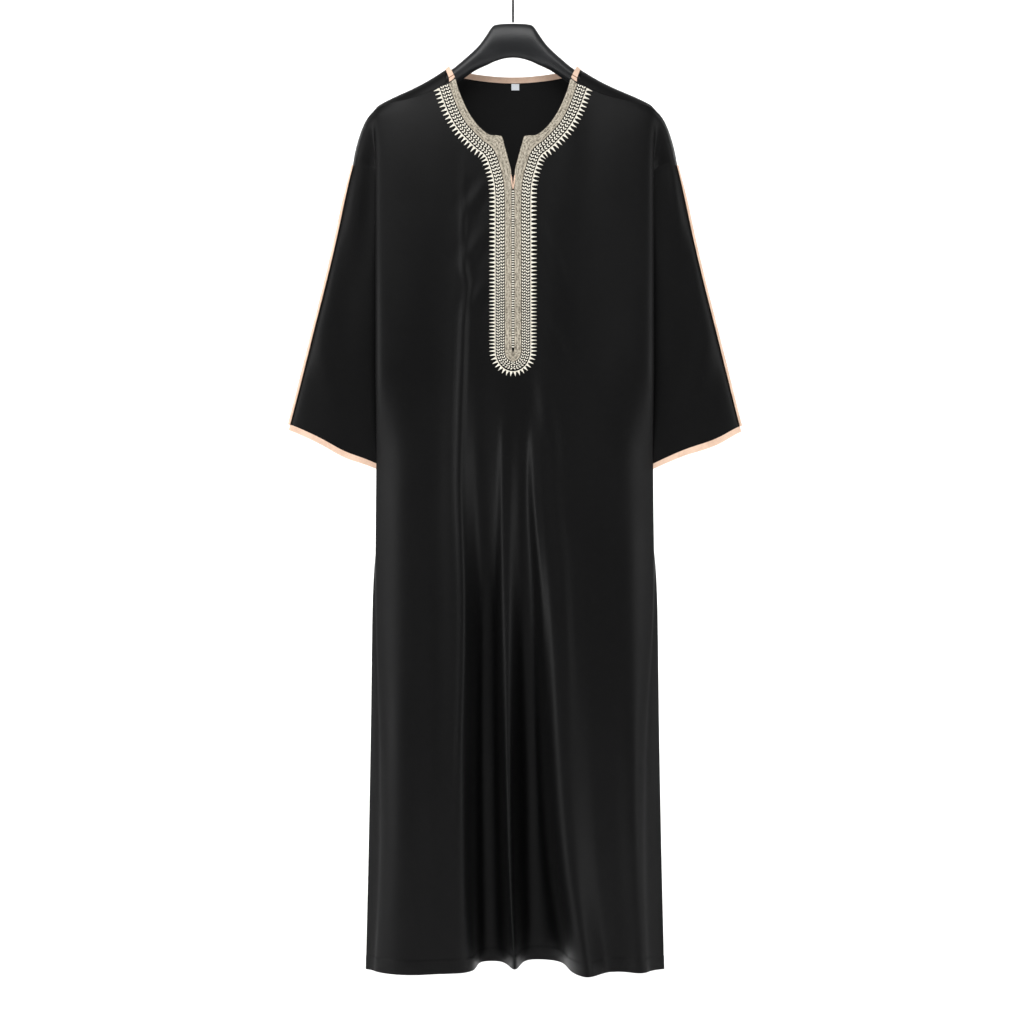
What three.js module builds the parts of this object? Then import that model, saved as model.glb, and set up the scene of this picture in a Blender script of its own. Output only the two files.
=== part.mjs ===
// A long pull-on kaftan with three-quarter sleeves, hanging from a moulded suit hanger.
// Millimetres. +Z is up, the front faces -Y and +X is on the viewer's right.
// The origin is the seat of the hook, where a rail would carry the hanger.
//
// "Out" is a distance from the centre line of the garment, the same on both sides.
// The garment hangs a few millimetres to the right of the hook, as a real one does.

import * as THREE from 'three';
import { mergeVertices } from 'three/addons/utils/BufferGeometryUtils.js';

// Driving dimensions of the cloth
const CLOTH = 1.6;             // wall of the panels and sleeves
const BINDING = 2.4;           // wall of a folded satin binding
const TAPE = 0.8;              // a satin tape laid flat on the cloth
const SEAM_GAP = 0.4;          // between two panels that are sewn together
const ARMHOLE_GAP = 0.7;       // the same where three pieces meet at an angle
const LAY_GAP = 0.45;          // between a panel and what lies on it
const HEM_Z = -1473;           // level of the hem
const SIDE_SHIFT = 3;          // how far the shoulders and sleeves hang to the right
const RIDGE_HALF = 20;         // half depth of the cloth where it bends over the hanger
const RIDGE_DROP = 20;         // height over which that bend takes place
const CHEST_LENGTH = 70;       // how soon the cloth reaches its full depth below the ridge
const CHEST_FULL = 37.5;       // that full depth at the chest, from the middle of the hanger
const BINDING_WIDTH = 8;       // back neck binding
const CUFF_WIDTH = 7;          // cuff binding
const SLEEVE_LENGTH = 400;     // along the outer line, from the shoulder point to the cuff

// Driving dimensions of the embroidery
const STITCH_HEIGHT = 0.9;     // how far the stitching stands above the cloth
const GUIDE_HALF = 26.4;       // half width of the placket at its cord line
const PLACKET_END_Z = -550;    // centre of the round end of the placket
const CORD_HALF = 0.9;         // half width of the cord line
const SPIKE_REACH = 8.6;       // cord line to the tip of a spike
const SPIKE_PITCH = 6.5;       // from one spike to the next
const ROW_BANDS = { leaf_row_outer: [1.3, 7.3], leaf_row_inner: [7.8, 13.6] };
const BRAID_START = 14.2;      // from the cord line in to the braid

// Driving dimensions of the hanger
const HOOK_WIRE = 1.5;         // radius of the wire
const HOOK_INNER = 17;         // inner radius of the crook
const HANGER_TOP_Z = -55;      // top of the hanger's crown

const COLOURS = {
  cloth: { color: 0x0d0d0f, roughness: 0.55, metalness: 0 },
  satin: { color: 0xe6bf9a, roughness: 0.45, metalness: 0 },
  thread_light: { color: 0xe9dcc0, roughness: 0.6, metalness: 0 },
  thread_grey: { color: 0x9d9482, roughness: 0.65, metalness: 0 },
  label: { color: 0xdfe3e6, roughness: 0.7, metalness: 0 },
  hanger: { color: 0x17181b, roughness: 0.35, metalness: 0 },
  wire: { color: 0x1b1b1d, roughness: 0.3, metalness: 0.9 },
};

const model = new THREE.Group();

function addPiece(name, geometry, finish) {
  const mesh = new THREE.Mesh(geometry, new THREE.MeshStandardMaterial(COLOURS[finish]));
  mesh.name = name;
  model.add(mesh);
}

const { lerp, smoothstep, clamp } = THREE.MathUtils;
const vec = (x, y, z) => new THREE.Vector3(x, y, z);

// A smooth curve through (xs, ys) that never overshoots its points, read at x.
function readCurve(xs, ys, x) {
  const last = xs.length - 1;
  const step = xs[last] > xs[0] ? 1 : -1;
  if ((x - xs[0]) * step <= 0) return ys[0];
  if ((x - xs[last]) * step >= 0) return ys[last];
  let i = 0;
  while ((x - xs[i + 1]) * step > 0) i += 1;
  const slope = (k) => (ys[k + 1] - ys[k]) / (xs[k + 1] - xs[k]);
  const tangent = (k) => {
    if (k === 0) return slope(0);
    if (k === last) return slope(last - 1);
    const before = slope(k - 1);
    const after = slope(k);
    return before * after <= 0 ? 0 : (2 * before * after) / (before + after);
  };
  const width = xs[i + 1] - xs[i];
  const t = (x - xs[i]) / width;
  const t2 = t * t;
  const t3 = t2 * t;
  return ys[i] * (2 * t3 - 3 * t2 + 1) + ys[i + 1] * (3 * t2 - 2 * t3)
    + width * (tangent(i) * (t3 - 2 * t2 + t) + tangent(i + 1) * (t3 - t2));
}

// A table has one named list for each column; this reads one column at a place along another.
const readTable = (table, key, column, at) => readCurve(table[key], table[column], at);

// Shoulder ridge: the highest line of the cloth, from the neck over the hanger to the armhole.
const RIDGE = {
  out: [0, 95, 125, 150, 188, 200, 211, 222, 229, 234, 239, 244.5],
  z: [-72, -121.5, -140.5, -153.5, -170, -176.5, -185.2, -197.5, -212, -226, -245, -267],
};

// The shoulder seam runs in front of the ridge at the neck and meets it at the armhole.
const SHOULDER_SEAM = {
  out: [85, 95, 121, 160, 208, 225, 244.5],
  below_ridge: [29, 26, 25, 17, 6, 2.5, 0.4],
};

// Front neck edge, from the corner of the slit up to the shoulder seam.
const SLIT_END_Z = -292;
const NECK_EDGE = {
  out: [16.5, 30, 45, 58, 68, 77, 85.5],
  z: [-231.4, -230, -221, -207, -191.5, -174, -146],
};

const sideShift = (out) => SIDE_SHIFT * smoothstep(out, 90, 200);
const outOf = (x) => Math.abs(x) - Math.sign(x) * sideShift(Math.abs(x));
const ridgeZ = (x) => readTable(RIDGE, 'out', 'z', outOf(x));
const NECK_CORNER = NECK_EDGE.out.at(-1);
const seamDrop = (x) => readTable(SHOULDER_SEAM, 'out', 'below_ridge', outOf(x));

// Distance of the cloth from the middle of the hanger, a given drop below the ridge.
function fullness(drop, full) {
  const bend = drop >= RIDGE_DROP ? 1 : Math.sqrt(1 - (1 - Math.max(drop, 0) / RIDGE_DROP) ** 2);
  return RIDGE_HALF * bend + (full - RIDGE_HALF) * (1 - Math.exp(-Math.max(drop, 0) / CHEST_LENGTH));
}

// Outward direction of the cloth near the shoulders; face is -1 in front and +1 behind.
function shoulderNormal(x, drop, face) {
  const small = 0.05;
  const steepest = 60;           // on the ridge itself, where the cloth lies flat
  const opening = (fullness(drop + small, CHEST_FULL) - fullness(drop, CHEST_FULL)) / small;
  const steep = Math.min(opening, steepest);
  const lean = (ridgeZ(x + 1) - ridgeZ(x - 1)) / 2;
  return vec(-steep * lean, face, steep).normalize();
}

// Levels at which the folds are given, from the chest to the hem.
const LEVEL_Z = [-246, -582, -741, -921, -1101, -1281, HEM_Z];

// Folds of the front, left to right: place across (x) and depth (y) at each level, and the
// number of cells to the next fold. Negative y stands forward.
const FRONT_FOLDS = [
  { name: 'side_l', cells: 2, x: [-205.5, -206, -206, -205, -198, -196, -205],
    y: [-26, -33, -36, -38, -42, -46, -48] },
  { name: 'front_l', cells: 3, x: [-195, -194, -195, -193, -186, -184, -193],
    y: [-35, -41, -45, -48, -51, -54, -56] },
  { name: 'hollow_l', cells: 2, x: [-124, -123, -123, -121, -123, -123, -122],
    y: [-36, -33, -31, -32, -34, -37, -40] },
  { name: 'neck_l', cells: 1, x: [-85.5, -96, -99, -95, -96, -97, -96],
    y: [-38, -37, -38, -38, -38, -38, -36] },
  { name: 'crest_a', cells: 2, x: [-74, -75, -80.5, -74, -77, -78, -76],
    y: [-38, -43, -44, -43, -42, -39, -33] },
  { name: 'edge_a', cells: 2, x: [-57, -64, -67, -61, -61, -61, -57],
    y: [-38, -38, -35, -27, -20, -10, -12] },
  { name: 'valley_a', cells: 2, x: [-43, -46, -52, -46, -49, -50, -50],
    y: [-37.5, -34, -25, -6, 10, 26, 42] },
  { name: 'slit_l', cells: 3, x: [-16.5, -24, -31, -30, -27, -24, -18],
    y: [-37.5, -36.5, -27, -8, 8, 26, 45] },
  { name: 'crest_b', cells: 3, x: [0, -5, -10, -10, -9, -6, 3],
    y: [-37.5, -37.5, -36, -31, -27, -21, -14] },
  { name: 'slit_r', cells: 2, x: [16.5, 15, 10, 12, 16, 18, 23],
    y: [-37.5, -36.5, -29, -14, 6, 30, 58] },
  { name: 'valley_c', cells: 2, x: [30, 28, 20, 28, 36, 45, 73],
    y: [-37.5, -37, -30, -14, 6, 28, 45] },
  { name: 'edge_c', cells: 2, x: [45, 42, 30, 44, 52, 59, 85],
    y: [-38, -39, -39, -36, -32, -28, -20] },
  { name: 'crest_c', cells: 2, x: [64, 58, 45, 62, 69, 81, 110],
    y: [-38, -41, -42, -46, -50, -56, -63] },
  { name: 'neck_r', cells: 3, x: [85.5, 92, 90, 102, 111, 117, 138],
    y: [-38, -38, -38, -38, -38, -38, -27] },
  { name: 'hollow_r', cells: 3, x: [144, 144, 147, 149, 151, 154, 165],
    y: [-37, -36, -36, -35, -34, -30, -26] },
  { name: 'front_r', cells: 2, x: [200, 199, 199, 197, 185, 182, 192],
    y: [-35, -42, -46, -48, -49, -50, -51] },
  { name: 'side_r', cells: 0, x: [210.5, 211, 211, 211, 197, 194, 200],
    y: [-26, -34, -38, -40, -42, -44, -46] },
];

// Folds of the back, right to left, since the back is seen from behind. Positive y stands back.
const BACK_FOLDS = [
  { name: 'side_r', cells: 2, x: [210.5, 211, 212, 211, 208, 206, 208],
    y: [24, 32, 36, 40, 43, 46, 48] },
  { name: 'rear_r', cells: 2, x: [200, 201, 202, 200, 197, 195, 197],
    y: [33, 41, 46, 50, 54, 57, 60] },
  { name: 'valley_r', cells: 2, x: [150, 154, 153, 152, 150, 148, 146],
    y: [38, 38, 37, 36, 34, 31, 28] },
  { name: 'neck_r', cells: 3, x: [101, 104, 106, 108, 110, 112, 112],
    y: [38, 40, 44, 50, 58, 67, 76] },
  { name: 'middle_r', cells: 2, x: [52, 54, 56, 58, 60, 62, 60],
    y: [38, 39, 41, 46, 54, 62, 72] },
  { name: 'middle', cells: 2, x: [0, -2, -4, -5, -5, -4, 0],
    y: [38, 40, 44, 50, 60, 71, 84] },
  { name: 'middle_l', cells: 3, x: [-52, -54, -56, -58, -60, -62, -60],
    y: [38, 39, 42, 46, 53, 60, 68] },
  { name: 'neck_l', cells: 2, x: [-101, -104, -106, -106, -104, -100, -96],
    y: [38, 39, 41, 44, 48, 53, 58] },
  { name: 'valley_l', cells: 2, x: [-150, -157, -156, -152, -150, -150, -150],
    y: [38, 38, 36, 33, 30, 27, 24] },
  { name: 'rear_l', cells: 2, x: [-196, -196, -197, -196, -192, -190, -194],
    y: [33, 41, 46, 50, 54, 58, 61] },
  { name: 'side_l', cells: 0, x: [-205.5, -206, -207, -206, -203, -201, -204],
    y: [24, 32, 36, 40, 44, 47, 50] },
];

// Heights of the rows of the front at its side fold. The skirt rows are the back's as well.
const SKIRT_Z = [-471, -521, -581, -656, -740, -806, -886, -986, -1091, -1201, -1311, -1401, HEM_Z];
const FRONT_TOP_Z = -188;
const FRONT_ROW_Z = [FRONT_TOP_Z, -198, -209, -223, -239, -259, -283, -311, -342, -374, -404, -430,
  ...SKIRT_Z];

// Rows of the back over the shoulder: shares of the way up from the seam, then drops behind
// the ridge. The back neck edge starts at the first row behind the ridge.
const RISE_SHARES = [1, 0.45, 0.12];
const BEHIND_DROPS = [0, 3, 9, 18];
const CORNER_ROW = RISE_SHARES.length + 1;
const BACK_ROW_Z = [-226, -262, -310, -368, -430, ...SKIRT_Z];

// Half of an armhole seam from the shoulder point to the underarm, one entry for each row of
// the panels' edges. The last three columns are the way that the cloth faces there.
const ARMHOLE_ROWS = 11;
const ARMHOLE = {
  row: [0, 1, 2, 4, 6, 8, 10, 11],
  out: [244.5, 240, 230, 209, 196, 191, 188.5, 188],
  depth: [0, 8, 12, 13, 12.5, 10, 5.5, 0],
  z: [-267, -267.8, -269, -274, -300, -354, -412, -430],
  face_out: [0.93, 0.5, 0.1, 0.15, 0.55, 0.55, 0.3, 0],
  face_depth: [0, 0.8, 0.98, 1, 0.83, 0.8, 0.5, 0],
  face_up: [0.37, 0.3, 0.15, 0, 0, -0.15, -0.8, -1],
};

// Side seam from the underarm to the hem. It lies in the deep side pleat behind the sleeve and
// comes out to the silhouette below the cuff.
const SIDE_SEAM = {
  z: [-430, -471, -521, -581, -656, -740, -806, -886, -1091, -1281, HEM_Z],
  out: [188, 177, 173, 171, 171, 174, 205, 213, 215.5, 219, 223.4],
  y: [0, 0, 0, 0, 0, 0, -3, -5, -6, -7, -8],
};

// Outer line of a sleeve, from the shoulder point to the cuff.
const SLEEVE_OUTER = {
  z: [-267, -290, -396, -516, -657, -666],
  out: [244.5, 250, 271.5, 301, 336, 338.5],
};

// Underarm line of a sleeve, as a share of the way down to the cuff.
const SLEEVE_INNER = {
  along: [0, 0.05, 0.14, 0.5, 1],
  out: [188, 193, 195.5, 193, 186],
  z: [-430, -437, -462, -572, -734],
};
const SLEEVE_ROWS = [0, 0.035, 0.09, 0.17, 0.27, 0.38, 0.5, 0.62, 0.74, 0.86, 0.94];
const CUFF_DEPTH = 12;         // half depth of the open cuff
const CUFF_FLATNESS = 0.7;     // below 1 the open cuff is flatter than an ellipse
const CUFF_START = 1 - CUFF_WIDTH / SLEEVE_LENGTH;

// A closed body from an outer and an inner sheet with the same triangles.
function closedBody(outer, inner, triangles) {
  const count = outer.length;
  const faces = [];
  const directed = new Set();
  for (const [a, b, c] of triangles) {
    faces.push(a, b, c, a + count, c + count, b + count);
    directed.add(`${a},${b}`).add(`${b},${c}`).add(`${c},${a}`);
  }
  for (const [a, b, c] of triangles) {
    for (const [p, q] of [[a, b], [b, c], [c, a]]) {
      if (directed.has(`${q},${p}`)) continue;
      faces.push(q, p, p + count, q, p + count, q + count);
    }
  }
  const positions = [...outer, ...inner].flatMap((p) => [p.x, p.y, p.z]);
  const geometry = new THREE.BufferGeometry();
  geometry.setAttribute('position', new THREE.Float32BufferAttribute(positions, 3));
  geometry.setIndex(faces);
  return mergeVertices(geometry, 1e-4);
}

// Outward directions at the points of a grid, whose rows run down the cloth.
function gridNormals(grid, ringed) {
  const rows = grid.length;
  const columns = grid[0].length;
  return grid.map((line, r) => line.map((point, c) => {
    const above = grid[Math.max(r - 1, 0)][c];
    const below = grid[Math.min(r + 1, rows - 1)][c];
    const before = ringed ? line[(c + columns - 1) % columns] : line[Math.max(c - 1, 0)];
    const after = ringed ? line[(c + 1) % columns] : line[Math.min(c + 1, columns - 1)];
    return below.clone().sub(above).cross(after.clone().sub(before)).normalize();
  }));
}

// A cloth wall on a grid of outer points. Cells for which isOpen(row, column) holds are left out.
function clothWall(grid, thickness, { ringed = false, normals = gridNormals(grid, ringed),
  isOpen = () => false } = {}) {
  const columns = grid[0].length;
  const at = (r, c) => r * columns + (c % columns);
  const triangles = [];
  for (let r = 0; r + 1 < grid.length; r += 1) {
    for (let c = 0; c + 1 < columns + (ringed ? 1 : 0); c += 1) {
      if (isOpen(r, c)) continue;
      triangles.push([at(r, c), at(r + 1, c), at(r, c + 1)]);
      triangles.push([at(r, c + 1), at(r + 1, c), at(r + 1, c + 1)]);
    }
  }
  const outer = grid.flat();
  const directions = normals.flat();
  const inner = outer.map((p, i) => p.clone().addScaledVector(directions[i], -thickness));
  const used = [...new Set(triangles.flat())];
  const place = new Map(used.map((index, i) => [index, i]));
  return closedBody(used.map((i) => outer[i]), used.map((i) => inner[i]),
    triangles.map((corners) => corners.map((i) => place.get(i))));
}

// Moves a point of a seam a little into its own panel, so that two panels stay apart.
function backFromSeam(point, neighbour, gap = SEAM_GAP) {
  const into = neighbour.clone().sub(point);
  return point.clone().addScaledVector(into.normalize(), gap / 2);
}

// A point of the plan of a fold table at one height; place counts folds from the first.
function foldPlan(folds, z) {
  const corners = folds.map((fold) => vec(readCurve(LEVEL_Z, fold.x, z),
    readCurve(LEVEL_Z, fold.y, z), 0));
  const first = corners[0];
  const last = corners.at(-1);
  const face = Math.sign(first.y);
  const turn = 10;               // the side folds turn straight towards the side seam
  const curve = new THREE.CatmullRomCurve3([vec(first.x, first.y - face * turn, 0), ...corners,
    vec(last.x, last.y - face * turn, 0)], false, 'centripetal');
  return (place) => curve.getPoint((place + 1) / (corners.length + 1));
}

// Places of the grid columns in a fold table, counted in folds. The last fold ends the grid.
function foldColumns(folds) {
  const places = folds.flatMap((fold, i) => Array.from({ length: fold.cells },
    (_, k) => i + k / fold.cells));
  return [...places, folds.length - 1];
}

const planCache = new Map();
function planPoint(folds, z, place) {
  const key = `${folds === FRONT_FOLDS}${z.toFixed(3)}`;
  if (!planCache.has(key)) planCache.set(key, foldPlan(folds, z));
  return planCache.get(key)(place);
}

// A point of a panel: the fold plan at this height, bent over the hanger near the ridge.
function panelPoint(folds, place, z) {
  const plan = planPoint(folds, z, place);
  const face = folds === FRONT_FOLDS ? -1 : 1;
  const depth = fullness(ridgeZ(plan.x) - z, face * plan.y);
  return vec(plan.x, face * depth, z);
}

function frontTopZ(x) {
  const out = Math.abs(x);
  if (out <= NECK_EDGE.out[0]) return lerp(SLIT_END_Z, NECK_EDGE.z[0], out / NECK_EDGE.out[0]);
  if (out <= NECK_CORNER) return readTable(NECK_EDGE, 'out', 'z', out);
  return ridgeZ(x) - seamDrop(x);
}

function shoulderSeamPoint(x) {
  const drop = seamDrop(x);
  return vec(x, -fullness(drop, CHEST_FULL), ridgeZ(x) - drop);
}

const mirror = (side, out) => side * out + sideShift(out);

function armholePoint(side, face, row) {
  const read = (column) => readTable(ARMHOLE, 'row', column, row);
  return vec(mirror(side, read('out')), face * read('depth'), read('z'));
}

function armholeNormal(side, face, row) {
  const read = (column) => readTable(ARMHOLE, 'row', column, row);
  return vec(side * read('face_out'), face * read('face_depth'), read('face_up')).normalize();
}

function sideSeamPoint(side, z) {
  return vec(mirror(side, readTable(SIDE_SEAM, 'z', 'out', z)),
    readTable(SIDE_SEAM, 'z', 'y', z), z);
}

// The cloth between a side fold and the seam beyond it: columns from the fold to the seam.
// Near the shoulder it follows the shoulder seam; lower down it turns back into the side pleat.
const STRIP_CELLS = 4;
const STRIP_LOW_ROW = 5;         // the first row that no longer follows the shoulder seam
const PLEAT = { fold_reach: 14, fold_share: 0.45, seam_reach: 10, seam_share: 0.3, facing: 1.5 };
function sideStrip(side, face, foldLine) {
  const seam = foldLine.map((point, r) => (r <= ARMHOLE_ROWS
    ? armholePoint(side, face, r) : sideSeamPoint(side, point.z)));
  const facing = foldLine.map((point, r) => (r <= ARMHOLE_ROWS
    ? armholeNormal(side, face, r)
    : vec(side, 0, 0).lerp(vec(0, 0, -1), Math.exp((ARMHOLE_ROWS - r) * PLEAT.facing)).normalize()));
  const top = Array.from({ length: STRIP_CELLS + 1 }, (_, s) => shoulderSeamPoint(
    mirror(side, lerp(outOf(foldLine[0].x), ARMHOLE.out[0], s / STRIP_CELLS))));
  const points = foldLine.map((fold, r) => {
    const span = fold.distanceTo(seam[r]);
    const reach = (name) => Math.min(PLEAT[`${name}_reach`], span * PLEAT[`${name}_share`]);
    const near = fold.clone().add(vec(0, -face * reach('fold'), 0));
    const far = seam[r].clone().add(vec(0, face * reach('seam'), 0));
    const pleat = new THREE.CubicBezierCurve3(fold, near, far, seam[r]);
    const low = smoothstep(r, 0, STRIP_LOW_ROW);
    return Array.from({ length: STRIP_CELLS + 1 }, (_, s) => {
      const t = s / STRIP_CELLS;
      const high = top[s].clone()
        .addScaledVector(fold.clone().sub(top[0]), 1 - t)
        .addScaledVector(seam[r].clone().sub(top[STRIP_CELLS]), t);
      return high.lerp(pleat.getPoint(t), low);
    });
  });
  return { points, facing };
}

// Joins a panel's middle grid with its two side strips. The middle runs from the first side
// to the other; its outer columns are the side folds.
function joinPanel(middle, firstSide, face) {
  const firstLine = middle.map((line) => line[0]);
  const lastLine = middle.map((line) => line.at(-1));
  const first = sideStrip(firstSide, face, firstLine);
  const last = sideStrip(-firstSide, face, lastLine);
  const grid = middle.map((line, r) => [
    ...first.points[r].slice(1).reverse(), ...line, ...last.points[r].slice(1)]);
  const normals = gridNormals(grid, false);
  const end = grid[0].length - 1;
  normals.forEach((line, r) => {
    line[0] = first.facing[r];
    line[end] = last.facing[r];
  });
  for (let c = 0; c <= STRIP_CELLS; c += 1) {
    for (const k of [c, end - c]) {
      const point = grid[0][k];
      const blend = c / STRIP_CELLS;
      const side = Math.sign(point.x);
      normals[0][k] = armholeNormal(side, face, 0).lerp(
        shoulderNormal(point.x, seamDrop(point.x), -1), blend).normalize();
    }
  }
  const moved = grid.map((line) => line.map((point) => point.clone()));
  grid.forEach((line, r) => {
    const gap = r <= ARMHOLE_ROWS ? ARMHOLE_GAP : SEAM_GAP;
    moved[r][0] = backFromSeam(line[0], line[1], gap);
    moved[r][end] = backFromSeam(line[end], line[end - 1], gap);
  });
  moved[0].forEach((point, c) => {
    moved[0][c] = backFromSeam(point, grid[1][c]);
  });
  return { grid: moved, normals };
}

const isShoulder = (x) => Math.abs(x) > NECK_CORNER - 1;

function frontGrid() {
  const places = foldColumns(FRONT_FOLDS);
  const shares = FRONT_ROW_Z.map((z) => (FRONT_TOP_Z - z) / (FRONT_TOP_Z - HEM_Z));
  const middle = shares.map(() => []);
  const rounds = 6;              // enough for the top edge to settle on its own plan
  places.forEach((place) => {
    let top = LEVEL_Z[0];
    for (let k = 0; k < rounds; k += 1) top = frontTopZ(planPoint(FRONT_FOLDS, top, place).x);
    shares.forEach((share, r) => {
      const point = panelPoint(FRONT_FOLDS, place, lerp(top, HEM_Z, share));
      middle[r].push(r === 0 && isShoulder(point.x) ? shoulderSeamPoint(point.x) : point);
    });
  });
  const panel = joinPanel(middle, -1, -1);
  middle[0].forEach((point, c) => {
    if (!isShoulder(point.x)) return;
    panel.normals[0][c + STRIP_CELLS] = shoulderNormal(point.x, ridgeZ(point.x) - point.z, -1);
  });
  return panel;
}

// The back neck edge of the panel, below the binding.
const BACK_NECK = { centre_z: -139, rise: 10, half: 90, corner: 101, row_step: 6 };
function backNeckZ(x) {
  const share = clamp(Math.abs(x) / BACK_NECK.half, 0, 1);
  return BACK_NECK.centre_z + BACK_NECK.rise * share * share;
}
const isNeck = (x) => Math.abs(x) < BACK_NECK.corner - 1;

function backGrid() {
  const places = foldColumns(BACK_FOLDS);
  const bend = Array.from({ length: RISE_SHARES.length + BEHIND_DROPS.length }, () => []);
  const bendNormals = bend.map(() => []);
  const skirt = BACK_ROW_Z.map(() => []);
  const sideTop = ridgeZ(BACK_FOLDS[0].x[0]) - BEHIND_DROPS.at(-1);
  places.forEach((place) => {
    const x = planPoint(BACK_FOLDS, LEVEL_Z[0], place).x;
    const drops = [...RISE_SHARES.map((share) => share * seamDrop(x)), ...BEHIND_DROPS];
    drops.forEach((drop, r) => {
      const face = r < RISE_SHARES.length ? -1 : 1;
      const rowsDown = Math.max(r - CORNER_ROW, 0);
      const below = isNeck(x) ? ridgeZ(x) - backNeckZ(x) + rowsDown * BACK_NECK.row_step : drop;
      bend[r].push(vec(x, face * fullness(below, CHEST_FULL), ridgeZ(x) - below));
      bendNormals[r].push(shoulderNormal(x, below, face));
    });
    const start = bend.at(-1).at(-1).z;
    BACK_ROW_Z.forEach((rowZ, k) => {
      const z = lerp(start, HEM_Z, (sideTop - rowZ) / (sideTop - HEM_Z));
      skirt[k].push(panelPoint(BACK_FOLDS, place, z));
    });
  });
  const panel = joinPanel([...bend, ...skirt], 1, 1);
  bendNormals.slice(0, -1).forEach((line, r) => line.forEach((normal, c) => {
    panel.normals[r][c + STRIP_CELLS] = normal;
  }));
  const corners = ['neck_r', 'neck_l'].map((name) => places.indexOf(
    BACK_FOLDS.findIndex((fold) => fold.name === name)));
  panel.isOpen = (r, c) => r < CORNER_ROW && c - STRIP_CELLS >= corners[0]
    && c - STRIP_CELLS < corners[1];
  panel.neckEdge = [];
  for (let r = 0; r < CORNER_ROW; r += 1) panel.neckEdge.push({ row: r, column: corners[0] });
  for (let c = corners[0]; c <= corners[1]; c += 1) {
    panel.neckEdge.push({ row: CORNER_ROW, column: c });
  }
  for (let r = CORNER_ROW - 1; r >= 0; r -= 1) panel.neckEdge.push({ row: r, column: corners[1] });
  panel.neckEdge = panel.neckEdge.map(({ row, column }) => ({
    row, point: bend[row][column], normal: bendNormals[row][column],
  }));
  return panel;
}

// A point of a sleeve. Place runs from the outer line (0) over the front to the underarm
// (ARMHOLE_ROWS) and back behind to the outer line (twice that).
function sleevePoint(side, along, place) {
  const wrapped = place < 0 ? place + 2 * ARMHOLE_ROWS : place;
  const face = wrapped <= ARMHOLE_ROWS ? -1 : 1;
  const row = face < 0 ? wrapped : 2 * ARMHOLE_ROWS - wrapped;
  const across = row / ARMHOLE_ROWS;
  const outerZ = lerp(SLEEVE_OUTER.z[0], SLEEVE_OUTER.z.at(-1), along);
  const outer = vec(readTable(SLEEVE_OUTER, 'z', 'out', outerZ), 0, outerZ);
  const inner = vec(readTable(SLEEVE_INNER, 'along', 'out', along), 0,
    readTable(SLEEVE_INNER, 'along', 'z', along));
  const shoulder = armholePoint(1, face, row);
  shoulder.x = readTable(ARMHOLE, 'row', 'out', row);
  const cuffShare = (1 - Math.cos(Math.PI * across)) / 2;
  const cuffOuter = vec(SLEEVE_OUTER.out.at(-1), 0, SLEEVE_OUTER.z.at(-1));
  const cuffInner = vec(SLEEVE_INNER.out.at(-1), 0, SLEEVE_INNER.z.at(-1));
  const cuff = cuffOuter.clone().lerp(cuffInner, cuffShare);
  cuff.y = face * CUFF_DEPTH * Math.sin(Math.PI * across) ** CUFF_FLATNESS;
  const topCorner = vec(ARMHOLE.out[0], 0, ARMHOLE.z[0]);
  const underCorner = vec(ARMHOLE.out.at(-1), 0, ARMHOLE.z.at(-1));
  const ends = shoulder.clone().lerp(cuff, along);
  const share = lerp(across, cuffShare, along);
  const sides = outer.clone().lerp(inner, share);
  const corners = topCorner.lerp(cuffOuter, along).lerp(underCorner.lerp(cuffInner, along), share);
  const point = ends.add(sides).sub(corners);
  return vec(mirror(side, point.x), point.y, point.z);
}

// Rings of a sleeve at the given shares of its length, in an order that faces outwards.
function sleeveRings(side, shares) {
  const places = Array.from({ length: 2 * ARMHOLE_ROWS }, (_, k) => k);
  if (side > 0) places.reverse();
  return {
    places,
    grid: shares.map((along) => places.map((place) => sleevePoint(side, along, place))),
  };
}

// How the cloth faces round the end of the sleeve, shared by the sleeve and its binding.
function cuffNormals(side) {
  return gridNormals(sleeveRings(side, [SLEEVE_ROWS.at(-1), CUFF_START, 1]).grid, true)[1];
}

function sleeveWall(side) {
  const gapShare = ARMHOLE_GAP / SLEEVE_LENGTH;
  const { places, grid } = sleeveRings(side, [...SLEEVE_ROWS, CUFF_START - gapShare]);
  const normals = gridNormals(grid, true);
  places.forEach((place, c) => {
    const face = place <= ARMHOLE_ROWS ? -1 : 1;
    const row = face < 0 ? place : 2 * ARMHOLE_ROWS - place;
    normals[0][c] = armholeNormal(side, face, row);
    grid[0][c] = backFromSeam(grid[0][c], grid[1][c], ARMHOLE_GAP);
  });
  normals[grid.length - 1] = cuffNormals(side);
  return clothWall(grid, CLOTH, { ringed: true, normals });
}

function cuffBinding(side) {
  const proud = (BINDING - CLOTH) / 2;
  const { grid } = sleeveRings(side, [CUFF_START, 1]);
  const normals = [cuffNormals(side), cuffNormals(side)];
  const outer = grid.map((line, r) => line.map((p, c) => p.clone()
    .addScaledVector(normals[r][c], proud)));
  return clothWall(outer, BINDING, { ringed: true, normals });
}

// The tape lies over the outer line of the sleeve, as wide as most of the two cells beside it.
// It stops short of the armhole and of the cuff binding by the given shares of the sleeve.
const SLEEVE_TAPE = { reach: 0.8, top_gap: 0.006, cuff_gap: 0.004 };
function sleeveTape(side) {
  const { reach, top_gap: topGap, cuff_gap: cuffGap } = SLEEVE_TAPE;
  const shares = [topGap, ...SLEEVE_ROWS.slice(1), CUFF_START - cuffGap];
  const places = [side * reach, 0, -side * reach];
  const grid = shares.map((along) => {
    const ridge = sleevePoint(side, along, 0);
    return places.map((place) => ridge.clone().lerp(
      sleevePoint(side, along, Math.sign(place)), Math.abs(place)));
  });
  const normals = gridNormals(grid, false);
  const outer = grid.map((line, r) => line.map((p, c) => p.clone()
    .addScaledVector(normals[r][c], LAY_GAP + TAPE)));
  return clothWall(outer, TAPE, { normals });
}

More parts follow.
